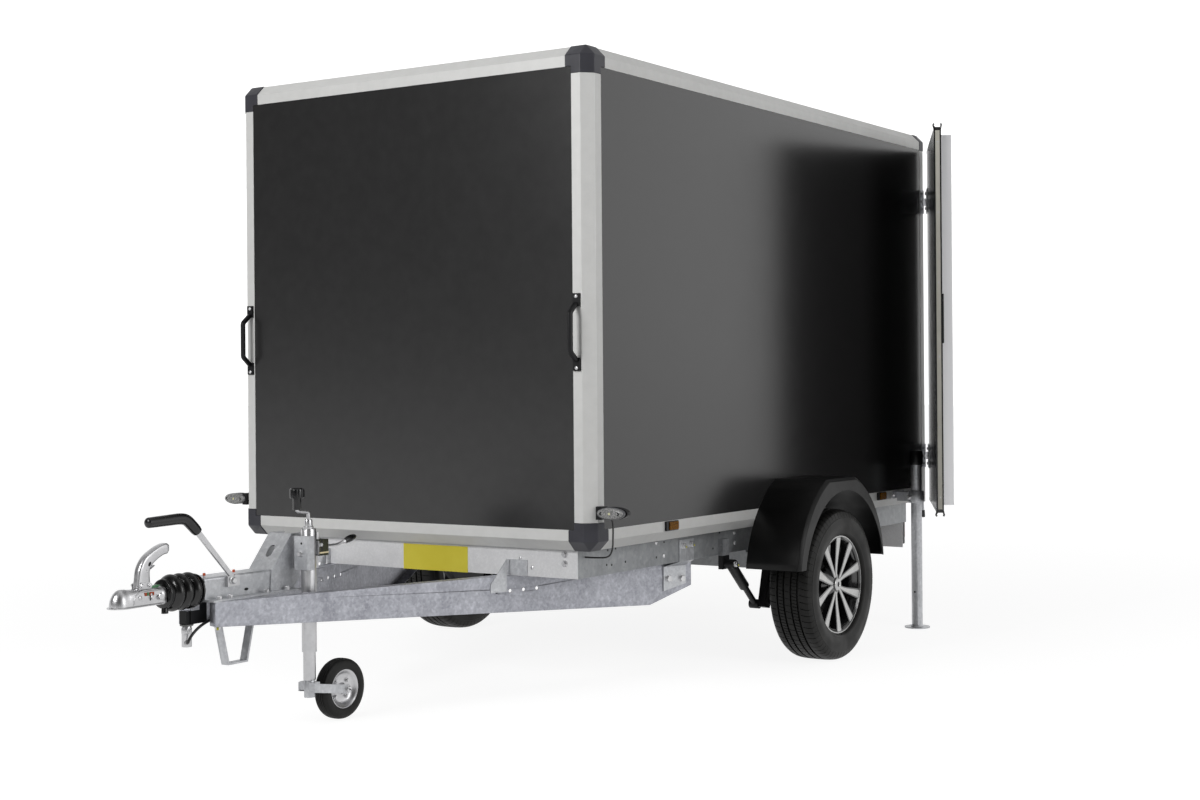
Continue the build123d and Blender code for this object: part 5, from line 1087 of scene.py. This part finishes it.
# %% Wear indicator
# A small window on each side shows red, green and red.
TILES = [
    ((-1204, 481), (-1196, 491), warning_red),
    ((-1194.5, 481), (-1187, 491), safe_green),
    ((-1185.5, 487), (-1168, 491), warning_red),
    ((-1185.5, 481), (-1181, 488), warning_red),
    ((-1172.5, 481), (-1168, 488), warning_red),
]
rows = []
for side in (1, -1):
    for low, high, colour in TILES:
        rows.append((box_shape((side * 24.5, *low), (side * 28.9, *high)), colour))
    needle = box_shape((side * 24.5, -1184, 466), (side * 29.4, -1181, 481))
    rows.append((needle, black_plastic))
strip = box_shape((-5, -1168, 500.5), (9, -1128, 506.5))
rows.append((strip, safe_green))
build("wear_indicator", "chassis", rows, bevel=0.4)

# %% [markdown]
# ## Coupling lever
# The lever is a pressed steel arm, hinged on the head and lifted to let go of the ball. Its
# section is a box with soft corners, |x/a|^4 + |d/b|^4 = 1, carried up a leaning curve. The depth
# b shrinks from the foot to the hand end, where both sizes close in as a circle does:
# r = sqrt(1 - u^2).

# %% Lever arm
lever_line = [(0, -1190, 500), (0, -1190, 528), (0, -1187, 556), (0, -1173, 580), (0, -1147, 598)]
lever_path = smooth_path([*lever_line, (0, -1121, 610), (0, -1103, 613.5), (0, -1091, 613.5)], 8)
share = np.linspace(0, 1, len(lever_path))
depth = np.interp(share, [0, 0.15, 0.35, 0.52, 0.72, 0.9, 1], [27, 23, 19.5, 17.5, 16.5, 17, 17])
to_tip = np.linalg.norm(lever_path - lever_path[-1], axis=1)
close = np.sqrt(1.01 - np.clip(1 - to_tip / 15, 0, 1) ** 2)
turn = np.arange(40) * 2 * pi / 40
box_x = np.sign(np.cos(turn)) * np.abs(np.cos(turn)) ** 0.5
box_d = np.sign(np.sin(turn)) * np.abs(np.sin(turn)) ** 0.5
section = np.stack([14.4 * close[:, None] ** 0.5 * box_x, (depth * close)[:, None] * box_d], -1)
arm = swept(lever_path, section, X_AXIS)
made = build("lever_arm", "chassis", [(arm, bright_zinc)], smooth=60)
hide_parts("coupling_handle")

# %% Lever details
rows = []
for side in (1, -1):
    out = (side, 0, 0)
    rows.append((facing(dome_head(4, 2), (side * 14.2, -1182, 552), out), bolt_zinc))
    window = stacked(ring_of(7.5, 20, 0.6), (-0.6, 0.6))
    rows.append((facing(window, (side * 14.2, -1172, 573), out, (0, 0.6, 1)), black_plastic))
    cheek = stacked([(-24, -6), (23, -6), (23, 6), (16, 14), (-16, 14), (-24, 6)], (0, 2.5))
    rows.append((facing(cheek, (side * 14.2, -1191, 506), out, (0, side, 0)), bright_zinc))
    for place, height in ((-1207, 511), (-1175, 510)):
        rows.append((facing(bolt_head(10, 5, 7), (side * 16.6, place, height), out), bolt_zinc))
catch_path = smooth_path([(0, -1164, 556), (0, -1156, 560), (0, -1146, 566)], 6)
rows.append((swept(catch_path, ring_of(8, 12, 0.24), X_AXIS), bolt_zinc))
build("lever_details", "chassis", rows, smooth=40)

# %% [markdown]
# ## Bellows
# The rubber bellows keeps dirt off the drawbar shaft and folds up under braking. It is one profile
# turned about the shaft. Between the collars its radius follows a wave,
# r = low + swing |sin a|^0.7, so its crests are full and its valleys are narrow, as rubber folds
# are.

# %% Bellows
collar_front = [(25.4, 0), (42.5, 0), (44, 1.5), (44, 15), (42, 17.5)]
fold = np.linspace(0, 3, 61)
wave = np.c_[43.0 + 13.8 * np.abs(np.sin(pi * fold)) ** 0.7, 19 + fold / 3 * 103]
profile_rows = np.concatenate([collar_front, wave, [(50, 124), (50, 129.6), (25.4, 129.6)]])
bellows_start = (0, HEAD_BACK + 3, SHAFT_Z)
ribs = facing(closed_turned(profile_rows, 72), bellows_start, Y_AXIS, X_AXIS)
tab_path = smooth_path([(2, -1104, 436), (4, -1106, 428), (5, -1107, 421), (5, -1107, 417)], 6)
tab = swept(tab_path, ring_of(10.5, 20), X_AXIS)
band = closed_turned([(43.6, 4), (45, 4.6), (45, 9.4), (43.6, 10)], 60)
band = facing(band, bellows_start, Y_AXIS, X_AXIS)
rows = [(ribs, soft_rubber), (tab, soft_rubber), (band, black_plastic)]
made = build("bellows_folds", "chassis", rows, smooth=50)
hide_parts("bellows")

# %% [markdown]
# ## Handbrake grip
# A moulded sleeve slides over the bent end of the lever. It is a round section carried along the
# bend, a little thinner at its mouth and rounded at its tip, so the radius changes along the path.

# %% Grip and small parts on the housing
grip_line = [(52, -1019, 659), (52, -1040, 679), (52, -1062, 697), (52, -1088, 703)]
grip_line += [(52, -1140, 702), (52, -1196, 700.4), (52, -1206, 700.1), (52, -1218, 700)]
grip_path = smooth_path(grip_line, 10)
step = np.linspace(0, 1, len(grip_path))
to_tip = np.linalg.norm(grip_path - grip_path[-1], axis=1)
swell = np.sqrt(1.0004 - np.clip(1 - to_tip / 10, 0, 1) ** 2)
swell *= 16.6 + 0.8 * np.sin(step * pi * 1.6)
swell *= 1 - 0.10 * np.exp(-((step / 0.03) ** 2))
section = swell[:, None, None] * ring_of(1.0, 28)
grip = swept(grip_path, section, X_AXIS)
made = build("brake_grip", "chassis", [(grip, grip_black)], smooth=60)
rows = []
for place, x in ((-962, 18), (-845, 24)):
    stalk = turned([(0, 0), (2.6, 0), (2.6, 7), (0, 7)], 16)
    cap = turned([(0, 5), (4.2, 5), (4.6, 8), (4.4, 12), (3, 13.4), (0, 13.6)], 20)
    rows.append((facing(stalk, (x, place, 512.5), Z_AXIS), bolt_zinc))
    rows.append((facing(cap, (x, place, 512.5), Z_AXIS), warning_red))
for place in (-945, -900, -745, -655):
    for side in (1, -1):
        rows.append((facing(bolt_head(13, 8, 10), (side * 66, place, 446), Z_AXIS), bolt_zinc))
pivot = facing(bolt_head(17, 8, 12), (56.2, -880, 497), X_AXIS)
rows.append((pivot, bolt_zinc))
# A flat black oval where the housing has a slot: painted shade for the slot's dark inside.
slot_shade = facing(stacked(ring_of(9, 20, 0.5), (-0.3, 0.25)), (45, -812, 462), X_AXIS)
rows.append((slot_shade, black_plastic))
build("housing_details", "chassis", rows)

# %% [markdown]
# ## Parked plug
# The plug stands in a socket under the bellows. A pale flange separates the plug from the black
# box, and a knurled ring and a rubber boot finish it where the lead comes out.

# %% Plug
PLUG_X, PLUG_PLACE, LEAD_EXIT_Z = 3, -1020, 319
LEAD_EXIT_TURN = radians(40)

flange = closed_turned([(13, 0), (20, 0), (20.6, 1), (20.6, 3), (20, 4), (13, 4)], 40)
knurl = stacked(ribbed(16.0, 15.2, 48), ((0, 0.97), 1, 16, (17, 0.97)))
sleeve = turned([(0, 0), (14, 0), (15.3, 2), (15.3, 40), (0, 40)], 40)
boot = turned([(0, 10), (8.4, 10), (8.0, 16), (5.2, 21), (4.7, 22), (0, 22)], 28)
boot_way = (cos(LEAD_EXIT_TURN), -sin(LEAD_EXIT_TURN), 0)
rows = [
    (facing(flange, (PLUG_X, PLUG_PLACE, 369.5), Z_AXIS), inner_film),
    (facing(knurl, (PLUG_X, PLUG_PLACE, 345), Z_AXIS), bright_zinc),
    (facing(sleeve, (PLUG_X, PLUG_PLACE, 304.6), Z_AXIS), bright_zinc),
    (facing(boot, (PLUG_X, PLUG_PLACE, LEAD_EXIT_Z), boot_way, Z_AXIS), soft_rubber),
]
made = build("plug_shell", "chassis", rows, smooth=40)

# %% [markdown]
# ## Parking jack
# The jack's crank ends in a turning knob: a slim sleeve under a wide ribbed head. Its clamp is a
# bent channel in front of the tube, closed by a screw in a box with a lever. These are turned and
# stacked outlines. The wheel is a solid tyre with fine grooves on a pressed steel dish, both one
# closed profile turned about the pin, so the bore for the pin stays open.

# %% Crank, clamp and lever
JACK_X, JACK_PLACE, HUB_PLACE = 105.0, -596.0, -456.0
knob_rows = ((740, 0.9), (743, 1.0), (764, 1.0), (769, 0.95), (771.5, 0.84), (772.4, 0.6))
knob = stacked(ribbed(24.0, 22.9, 40), knob_rows)
sleeve = turned([(0, 702.5), (12.4, 702.5), (13.4, 704.5), (13.4, 741), (0, 741)], 32)
collar = [(0, 637.2), (17, 637.2), (17, 645), (13, 646.5), (13, 664), (11.5, 668), (6.6, 668.5)]
collar = turned([*collar, (0, 668.5)], 32)
boss = turned([(0, -3), (9.5, -3), (9.5, 5), (7.5, 9), (5.4, 14), (0, 14)], 28)
t = np.linspace(-1, 1, 15)
oval = turned(np.c_[11.5 * np.sqrt(1 - t**2), 33 * t], 28)
lever_way = (0, 36.0, 9.0)
# The hole in the clamp is a thin black disc: painted shade for its dark inside.
clamp_hole_shade = stacked(ring_of(4, 16), (-0.2, 0.3))
channel = [(-39, -1), (-39, -25), (-35, -29), (22, -29), (26, -25), (26, -1), (22, -1), (22, -23)]
channel = np.array(channel + [(20, -25), (-33, -25), (-35, -23), (-35, -1)], float)
rows = [
    (facing(knob, (JACK_X, JACK_PLACE - 51, 0), Z_AXIS, X_AXIS), grip_black),
    (facing(sleeve, (JACK_X, JACK_PLACE - 51, 0), Z_AXIS, X_AXIS), grip_black),
    (facing(collar, (JACK_X, JACK_PLACE, 0), Z_AXIS, X_AXIS), bright_zinc),
    (facing(boss, (JACK_X, -534, 575), Y_AXIS, X_AXIS), bright_zinc),
    (facing(oval, (JACK_X, -404, 590), lever_way, X_AXIS), grip_black),
    (facing(stacked(channel, (506, 616)), (JACK_X, JACK_PLACE, 0), Z_AXIS, X_AXIS), galvanised),
    (facing(bolt_head(13, 8, 10), (JACK_X - 8, JACK_PLACE - 29, 558), FORWARD, X_AXIS), bolt_zinc),
    (facing(clamp_hole_shade, (JACK_X - 4, JACK_PLACE - 29, 592), FORWARD, X_AXIS), black_plastic),
    (box_shape((90.6, -571.4, 549), (131.6, -532, 601)), olive_zinc),
    (box_shape((90.2, -571.6, 556), (132.2, -531.6, 561)), yellow_zinc),
    (box_shape((90.2, -566, 548.6), (132.0, -560, 601.4)), grip_black),
    (facing(bolt_head(11, 6, 8), (129, -568, 585), X_AXIS), bolt_zinc),
    (facing(bolt_head(10, 22, 9), (JACK_X + 4, -560, 600), Z_AXIS, X_AXIS), bolt_zinc),
]
made = build("jack_details", "chassis", rows, smooth=35, bevel=0.5)

# %% Jack wheel
JACK_WHEEL = (JACK_X, HUB_PLACE, 100)

tread = []
for groove in (-14.0, -7.0, 0.0, 7.0, 14.0):
    tread += [(groove + x, depth) for x, depth in ((-1.5, 0), (-0.8, 1.8), (0.8, 1.8), (1.5, 0))]
tread = np.array([(-20, 0.6), *tread, (20, 0.6)])
crown_r = 99.7 - tread[:, 1] - 2.6 * (np.abs(tread[:, 0]) / 20) ** 3
wall = [(24, 91), (25, 84), (25, 74), (23.6, 66), (21.5, 61.8), (17, 58), (14, 54)]
outer_wall = [(radius, x) for x, radius in wall]
inner_wall = [(radius, -x) for x, radius in wall[::-1]]
loop = np.concatenate([np.c_[crown_r, tread[:, 0]], outer_wall, inner_wall])
jack_tyre = facing(closed_turned(loop, 90), JACK_WHEEL, X_AXIS)
dish = [(8.6, 23), (15.5, 23), (16, 21), (16, 10), (20, 6.5), (30, 5), (42, 6), (49, 9), (54, 15)]
dish += [(57, 19.5), (60, 21.6), (62, 23.2), (63.6, 23.0), (63.8, 21.5), (61.5, 19.8)]
dish += [(58.5, 17), (55.5, 12)]
dish = np.array(dish + [(r, -x) for r, x in dish[::-1]], float)
jack_rim = facing(closed_turned(dish, 72), JACK_WHEEL, X_AXIS)
rows = [(jack_tyre, tyre_rubber), (jack_rim, bright_zinc)]
turn = radians(40) + np.arange(4) * pi / 2
spots = np.stack([np.zeros(4), 37 * np.cos(turn), 37 * np.sin(turn)], -1)
for side in (1, -1):
    head = facing(bolt_head(10, 6, 7), JACK_WHEEL + side * np.array([5.0, 0, 0]), (side, 0, 0))
    rows.append((copies(head, spots), bolt_zinc))
made = build("jack_wheel", "jockey_roller", rows, smooth=30)
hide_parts("jockey_wheel")
rows = []
# The slot in each pin end is a thin black box: painted shade for the slot's dark inside.
pin_slot_shade = box_shape((-0.8, -5, 10), (0.8, 5, 13.4))
for side in (1, -1):
    out = (side, 0, 0)
    pin_end = JACK_WHEEL + side * np.array([36, 0, 0])
    rows.append((facing(bolt_head(19, 7, 13), pin_end, out), bolt_zinc))
    rows.append((facing(pin_slot_shade, pin_end, out, (0, 0.6, 0.8)), black_plastic))
build("jack_pin", "jockey_swivel", rows, bevel=0.3)

# %% [markdown]
# ## Fasteners on the chassis
# Zinc-plated bolts hold the beams to the box. A dab of yellow paint on each of the structural ones
# shows that it was tightened. Each punched hole in the long members is a thin black disc: painted
# shade, for the dark inside of the hole. One hexagon and one round head, drawn once and set
# wherever a bolt sits, are enough for all.

# %% Bolts and punched holes
MEMBER_X, MEMBER_FRONT = 710.0, 54
BEAM_START = np.array([80, -976, 0])
BEAM_WAY = np.array([0.3175, 0.9483, 0])
BEAM_OUT = np.array([0.9483, -0.3175, 0])
SHOCK_BOLTS_X = 770
SIDE_MARK, LOW_MARK = (0, 7, -4), (5, -6, 0)
MEMBER_RIVETS = ((547, 523), (598, 472), (1108, 516), (1112, 476))
MEMBER_HOLES = [(599, 521), (547, 470), (260, 518), (259, 470), (284, 525), (235, 523)]
MEMBER_HOLES += [(345, 473), (228, 473), (996, 525), (946, 468), (1500, 500), (1560, 500)]
MEMBER_HOLES += [(1980, 505), (2040, 505), (2330, 500)]
SHEET_RIVETS = ((420, 470), (470, 500), (520, 470))


def marked_bolt(place, outward, mark, across=19):
    """A structural bolt with its dab of paint, offset by mark from the middle of the head."""
    head = facing(bolt_head(across, 9, across * 0.62), place, outward)
    dab = facing(stacked(ring_of(4.0, 14, 0.9), (1.0, 11.6)), np.add(place, mark), outward)
    return [(head, bolt_zinc), (dab, paint_yellow)]


rows = []
for side in (1, -1):
    out = (side, 0, 0)
    for place, z in ((722, 497), (778, 499)):
        rows += marked_bolt((side * (MEMBER_X + 5), place, z), out, SIDE_MARK)
    beam_out = BEAM_OUT * (side, 1, 1)
    for run, z in ((1788, 374), (1852, 370.16)):
        spot = BEAM_START + BEAM_WAY * run + BEAM_OUT * 5
        rows += marked_bolt((side * spot[0], spot[1], z), beam_out, SIDE_MARK, 22)
    for place, z in MEMBER_RIVETS:
        rows.append((facing(dome_head(8, 4), (side * MEMBER_X, place, z), out), bolt_zinc))
    # A thin black disc on each punched hole: painted shade for the hole's dark inside.
    for place, z in MEMBER_HOLES:
        disc = facing(stacked(ring_of(4.2, 18), (-0.2, 0.25)), (side * MEMBER_X, place, z), out)
        rows.append((disc, black_plastic))
    for z in (523, 491):
        spot = (side * 656, MEMBER_FRONT, z)
        rows.append((facing(bolt_head(15, 7, 12), spot, FORWARD, X_AXIS), bolt_zinc))
    rows.append((facing(bolt_head(19, 9, 13), (side * SHOCK_BOLTS_X, 1198, 232), out), bolt_zinc))
    rows += marked_bolt((side * SHOCK_BOLTS_X, 1010, 405), out, SIDE_MARK)
    for x, z in SHEET_RIVETS:
        spot = (side * x, MEMBER_FRONT, z)
        rows.append((facing(dome_head(7, 3), spot, FORWARD, X_AXIS), bolt_zinc))
    rows += marked_bolt((side * 66, -952, 364), (0, 0, -1), LOW_MARK, 15)
build("chassis_bolts", "chassis", rows, smooth=30)

# %% Blank plate on the front sheet
plate = box_shape((-55, 52.8, 439), (239, 54.1, 530))
build("front_plate", "chassis", [(plate, label_film)], bevel=0.3)

# %% [markdown]
# ## Lamps
# A lamp is a dark body under a clear or coloured lens. The lens is a stack of ovals or rounded
# rectangles that shrink towards the middle, which gives the soft crown that catches a highlight.

# %% Front marker lamps
MARKER_X, MARKER_PLACE, MARKER_Z = 868, 23, 669

dome_rows = ((-1, 1), (5, 1), (7.5, 0.96), (9.5, 0.88), (10.8, 0.74), (11.3, 0.5))
dome = stacked(ring_of(52, 48, 0.36), dome_rows)
surround = stacked(ring_of(54.6, 48, 0.38), ((-15, 0.9), (-3, 1), (3, 1), (4.5, 0.97)))
screw = stacked(ring_of(6.2, 20), (6, 11.0))
lit = stacked(ring_of(4.2, 20), ((8, 1), (11.4, 1), (12.0, 0.7)))
rows = []
for side in (1, -1):
    parts = [(surround, 0, lamp_grey), (dome, 0, clear_lens)]
    parts += [(screw, -33, black_plastic), (screw, 33, black_plastic), (lit, 0, lamp_yellow)]
    for shape, shift, finish in parts:
        spot = (side * MARKER_X + shift, MARKER_PLACE, MARKER_Z)
        rows.append((facing(shape, spot, FORWARD, X_AXIS), finish))
build("marker_lenses", "chassis", rows, smooth=40)


# %% Side and rear lamps
def lens_block(low, high, depth, outward, right, corner=3.0):
    """A rounded pad: an outline with clipped corners that closes in over its last quarter."""
    low, high = np.asarray(low, float), np.asarray(high, float)
    half = (high - low) / 2
    spread, rise, c = abs(half @ np.asarray(right, float)), abs(half[2]), corner
    outline = [(-spread + c, -rise), (spread - c, -rise), (spread, -rise + c), (spread, rise - c)]
    outline += [(spread - c, rise), (-spread + c, rise), (-spread, rise - c), (-spread, -rise + c)]
    pad = stacked(outline, ((-1, 1), (depth * 0.75, 1), (depth, 0.95)))
    return facing(pad, (high + low) / 2, outward, right)


SIDE_MARKER_X, SIDE_MARKER_PLACES = 816, (490, 2226)
REAR_LAMP_PLACE, LAMP_BOARD_PLACE = 2700, 2675
# (near x, low z), (far x, high z), place, depth, corner, finish
REAR_LENSES = [
    ((562, 366), (608, 447), REAR_LAMP_PLACE, 9, 5, amber_lens),
    ((610, 366), (656, 447), REAR_LAMP_PLACE, 9, 5, red_lens),
    ((658, 366), (703, 447), REAR_LAMP_PLACE, 9, 5, red_lens),
    ((562, 343), (703, 362), REAR_LAMP_PLACE, 7, 4, clear_lens),
    ((350, 380), (420, 425), LAMP_BOARD_PLACE, 6, 4, red_lens),
]


def rear_pad(low, high, place, depth, corner):
    """A lens_block that faces backwards, between two corners (x, z)."""
    low, high = (low[0], place, low[1]), (high[0], place, high[1])
    return lens_block(low, high, depth, Y_AXIS, X_AXIS, corner)


rows = []
for side in (1, -1):
    x, out = side * SIDE_MARKER_X, (side, 0, 0)
    for place in SIDE_MARKER_PLACES:
        pad = lens_block((x, place - 22, 578.5), (x, place + 38, 607.5), 3.6, out, Y_AXIS)
        rows.append((pad, amber_lens))
        dot = stacked(ring_of(4.4, 16), (3.2, 4.2))
        for shift, z in ((2, 587.4), (22, 601.4)):
            rows.append((facing(dot, (x, place + shift, z), out), amber_lens))
    for (near, bottom), (far, top), place, depth, corner, finish in REAR_LENSES:
        pad = rear_pad((side * near, bottom), (side * far, top), place, depth, corner)
        rows.append((pad, finish))
build("side_and_rear_lenses", "chassis", rows, smooth=30)
rows = [
    (rear_pad((-262, 344), (262, 458), LAMP_BOARD_PLACE, 3, 6), plate_white),
    (box_shape((-268, 2674.8, 338), (268, 2676.4, 464)), black_plastic),
    (rear_pad((-40, 466), (40, 477), LAMP_BOARD_PLACE, 22, 3), black_plastic),
]
build("plate_holder", "chassis", rows, bevel=0.5)

# %% [markdown]
# ## Doors
# Each leaf is a film-faced panel in a seal. At its free edge a pale strip lies between two black
# lips, and small hooks of seal stand out past its ends. The inside is lined in pale film.
# Everything on a leaf is drawn in the leaf's own directions, along it and across it, and then
# turned to where the open leaf stands, so both doors share one drawing.

# %% Leaf directions
LEAF_TURN = radians(64)
HINGE_X, HINGE_PLACE = 830.0, 2732.0
HINGE_HEIGHTS = (752, 1924)
ALONG, OUTWARDS, INWARDS = (1, 0, 0), (0, 1, 0), (0, -1, 0)


def on_leaf(side, points):
    """Points (along, across, z) on a leaf carried to (x, place, z); across grows outwards."""
    points = np.asarray(points, float)
    along, across, z = points[..., 0], points[..., 1], points[..., 2]
    x = side * (HINGE_X + along * cos(LEAF_TURN) - across * sin(LEAF_TURN))
    place = HINGE_PLACE - along * sin(LEAF_TURN) - across * cos(LEAF_TURN)
    return np.stack([x, place, z], -1)


def leaf_part(side, near, far, inner, outer, low, high):
    """A box on a leaf."""
    points, faces = box_shape((near, inner, low), (far, outer, high))
    return on_leaf(side, points), faces


def leaf_fastener(side, shape, along, across, z, way, right=Z_AXIS):
    """A head on a leaf, where way is the direction it points in (along, across, up)."""
    points, faces = facing(shape, (along, across, z), way, right)
    return on_leaf(side, points), faces


# %% Seals, strip, pull, lining and hinge details
SIDES = ((1, "left"), (-1, "right"))
# (near, far) along the leaf, (inner, outer) across it, (low, high) up it, finish
LEAF_PARTS = [
    ((826, 828.6), (-9, 9), (562, 2142), cream_strip),
    ((812, 829.2), (9.2, 15.4), (546, 2158), soft_rubber),
    ((816, 829.0), (-15.2, -9.2), (552, 2152), soft_rubber),
    ((40, 812), (14.0, 15.0), (548.5, 560), soft_rubber),
    ((40, 812), (14.0, 15.0), (2144, 2155.5), soft_rubber),
    ((806, 829.0), (-21, -15), (1255, 1461), grip_black),
    ((34, 756), (-14.9, -14.0), (556, 2148), inner_film),
    ((754, 800), (-15.6, -14.0), (566, 2138), rolled_sheet),
]
STRIP_SCREWS = (612, 905, 1198, 1508, 1801, 2094)
BAR_SCREWS = (640, 900, 1160, 1540, 1800, 2060)
KNUCKLE = [(0, -2), (8.2, -2), (8.9, 0), (8.9, 33), (8.2, 35), (0, 35)]
HINGE_BOLTS = ((52, 34), (52, -34), (104, 34), (104, -34), (78, 0))


def seal_hook(across, lean, z, lift):
    """A seal's end: it leaves the leaf's corner at z, leans across and bends up or down by lift."""
    line = [(822, across, z - lift * 10), (823, across + lean * 0.5, z)]
    line += [(823, across + lean, z + lift * 9), (822, across + lean * 0.3, z + lift * 15)]
    return swept(smooth_path(line, 6), ring_of(5.4, 12, 0.72), ALONG)


for side, word in SIDES:
    rows = [
        (leaf_part(side, near, far, inner, outer, low, high), finish)
        for (near, far), (inner, outer), (low, high), finish in LEAF_PARTS
    ]
    for z in STRIP_SCREWS:
        rows.append((leaf_fastener(side, dome_head(3.4, 1.3), 828.6, 0, z, ALONG), bolt_zinc))
    for z in BAR_SCREWS:
        screw = leaf_fastener(side, dome_head(4.2, 2.2), 777, -58.6, z, INWARDS)
        rows.append((screw, bolt_zinc))
    for z, lift in ((548, -1), (2156, 1)):
        for across, lean in ((12, 5), (-12, -4)):
            points, faces = seal_hook(across, lean, z, lift)
            rows.append(((on_leaf(side, points), faces), soft_rubber))
    build(f"{word}_door_seals", f"{word}_door", rows, bevel=0.6)
    rows = []
    for z in HINGE_HEIGHTS:
        for along, lift in HINGE_BOLTS:
            head = leaf_fastener(side, bolt_head(10, 4.6, 7), along, 18, z + lift, OUTWARDS)
            rows.append((head, bolt_zinc))
        for low in (z - 54, z + 19.5):
            knuckle = leaf_fastener(side, turned(KNUCKLE, 28), 0, 0, low, Z_AXIS, ALONG)
            rows.append((knuckle, bolt_zinc))
        for low, high in ((z - 50, z - 24), (z + 24, z + 50)):
            rows.append((leaf_part(side, 6, 34, 5, 17.5, low, high), bolt_zinc))
    build(f"{word}_hinge_details", f"{word}_door", rows, smooth=32, bevel=1.2)
print("door pieces made")

# %% Hinge posts and linings
LINING_LOW, LINING_HIGH = 613, 2159

pin = turned([(0, 53), (7.5, 53), (7.5, 56), (6, 58), (0, 58)], 24)
rows = []
for side in (1, -1):
    for z in HINGE_HEIGHTS:
        for lift in (36, -36, 0):
            spot = (side * 812, 2680, z + lift)
            rows.append((facing(bolt_head(10, 4.6, 7), spot, (side, 0, 0)), bolt_zinc))
        rows.append((facing(pin, (side * HINGE_X, HINGE_PLACE, z), Z_AXIS, X_AXIS), bright_zinc))
    low, high = (side * 787.0, 74, LINING_LOW), (side * 788.2, 2664, LINING_HIGH)
    rows.append((box_shape(low, high), inner_film))
rows.append((box_shape((-734, 19.6, LINING_LOW), (734, 20.9, LINING_HIGH)), inner_film))
build("hinge_bolts_and_linings", "chassis", rows, smooth=32)

# %% [markdown]
# ## Steadies and grab handles
# Each rear steady is a tube with a rounded rubber cap over its top, a weld at its foot and a black
# disc of painted shade where the hole for a pin is. The clamps that hold the tubes, and the grab
# handles on the front posts, get their screws.

# %% Steady caps
LEG_X, LEG_PLACE, LEG_RADIUS = 900, 2400, 24
CAP = [(0, 724), (25.2, 724), (29.5, 729), (31.5, 740), (31.5, 764), (30.2, 776)]
CAP += [(26.8, 784.5), (19, 789), (0, 790.5)]
FOOT_WELD = [(24.2, 6), (30, 6), (27, 10), (24.2, 16)]

# The pin hole is a thin black disc: painted shade for the hole's dark inside.
pin_hole_shade = stacked(ring_of(5, 18), (-0.4, 0.2))
for side, word in SIDES:
    leg = (side * LEG_X, LEG_PLACE, 0)
    hole_at = (side * LEG_X, LEG_PLACE - LEG_RADIUS, 160)
    rows = [
        (facing(turned(CAP, 44), leg, Z_AXIS, X_AXIS), black_plastic),
        (facing(closed_turned(FOOT_WELD, 40), leg, Z_AXIS, X_AXIS), galvanised),
        (facing(pin_hole_shade, hole_at, FORWARD, X_AXIS), black_plastic),
    ]
    build(f"{word}_steady_cap", f"{word}_steady", rows, smooth=40)

# %% Screws of the clamps and the grab handles
tip = turned([(0, -16), (7.6, -16), (8.4, -13), (8.4, 13), (7.0, 16), (0, 16)], 24)
rows = []
for side in (1, -1):
    for place in (LEG_PLACE - 54, LEG_PLACE + 54):
        spot = (side * 813, place, 591)
        rows.append((facing(bolt_head(12, 6, 9), spot, (side, 0, 0)), bolt_zinc))
    spot = (side * 880, LEG_PLACE - 34, 582)
    rows.append((facing(bolt_head(15, 9, 11), spot, FORWARD, X_AXIS), bolt_zinc))
    rows.append((facing(tip, (side * LEG_X, 2473, 502), (0, 0.1, -1), X_AXIS), soft_rubber))
    for z in (1153, 1392):
        rows.append((facing(dome_head(6.5, 3), (side * 754, -7, z), FORWARD, X_AXIS), bolt_zinc))
build("steady_and_grab_screws", "chassis", rows, smooth=40)

# %% Finish of the leads
for item in (plug_lead, marker_lead):
    item.data.materials.append(cable_black)
print("leads finished")
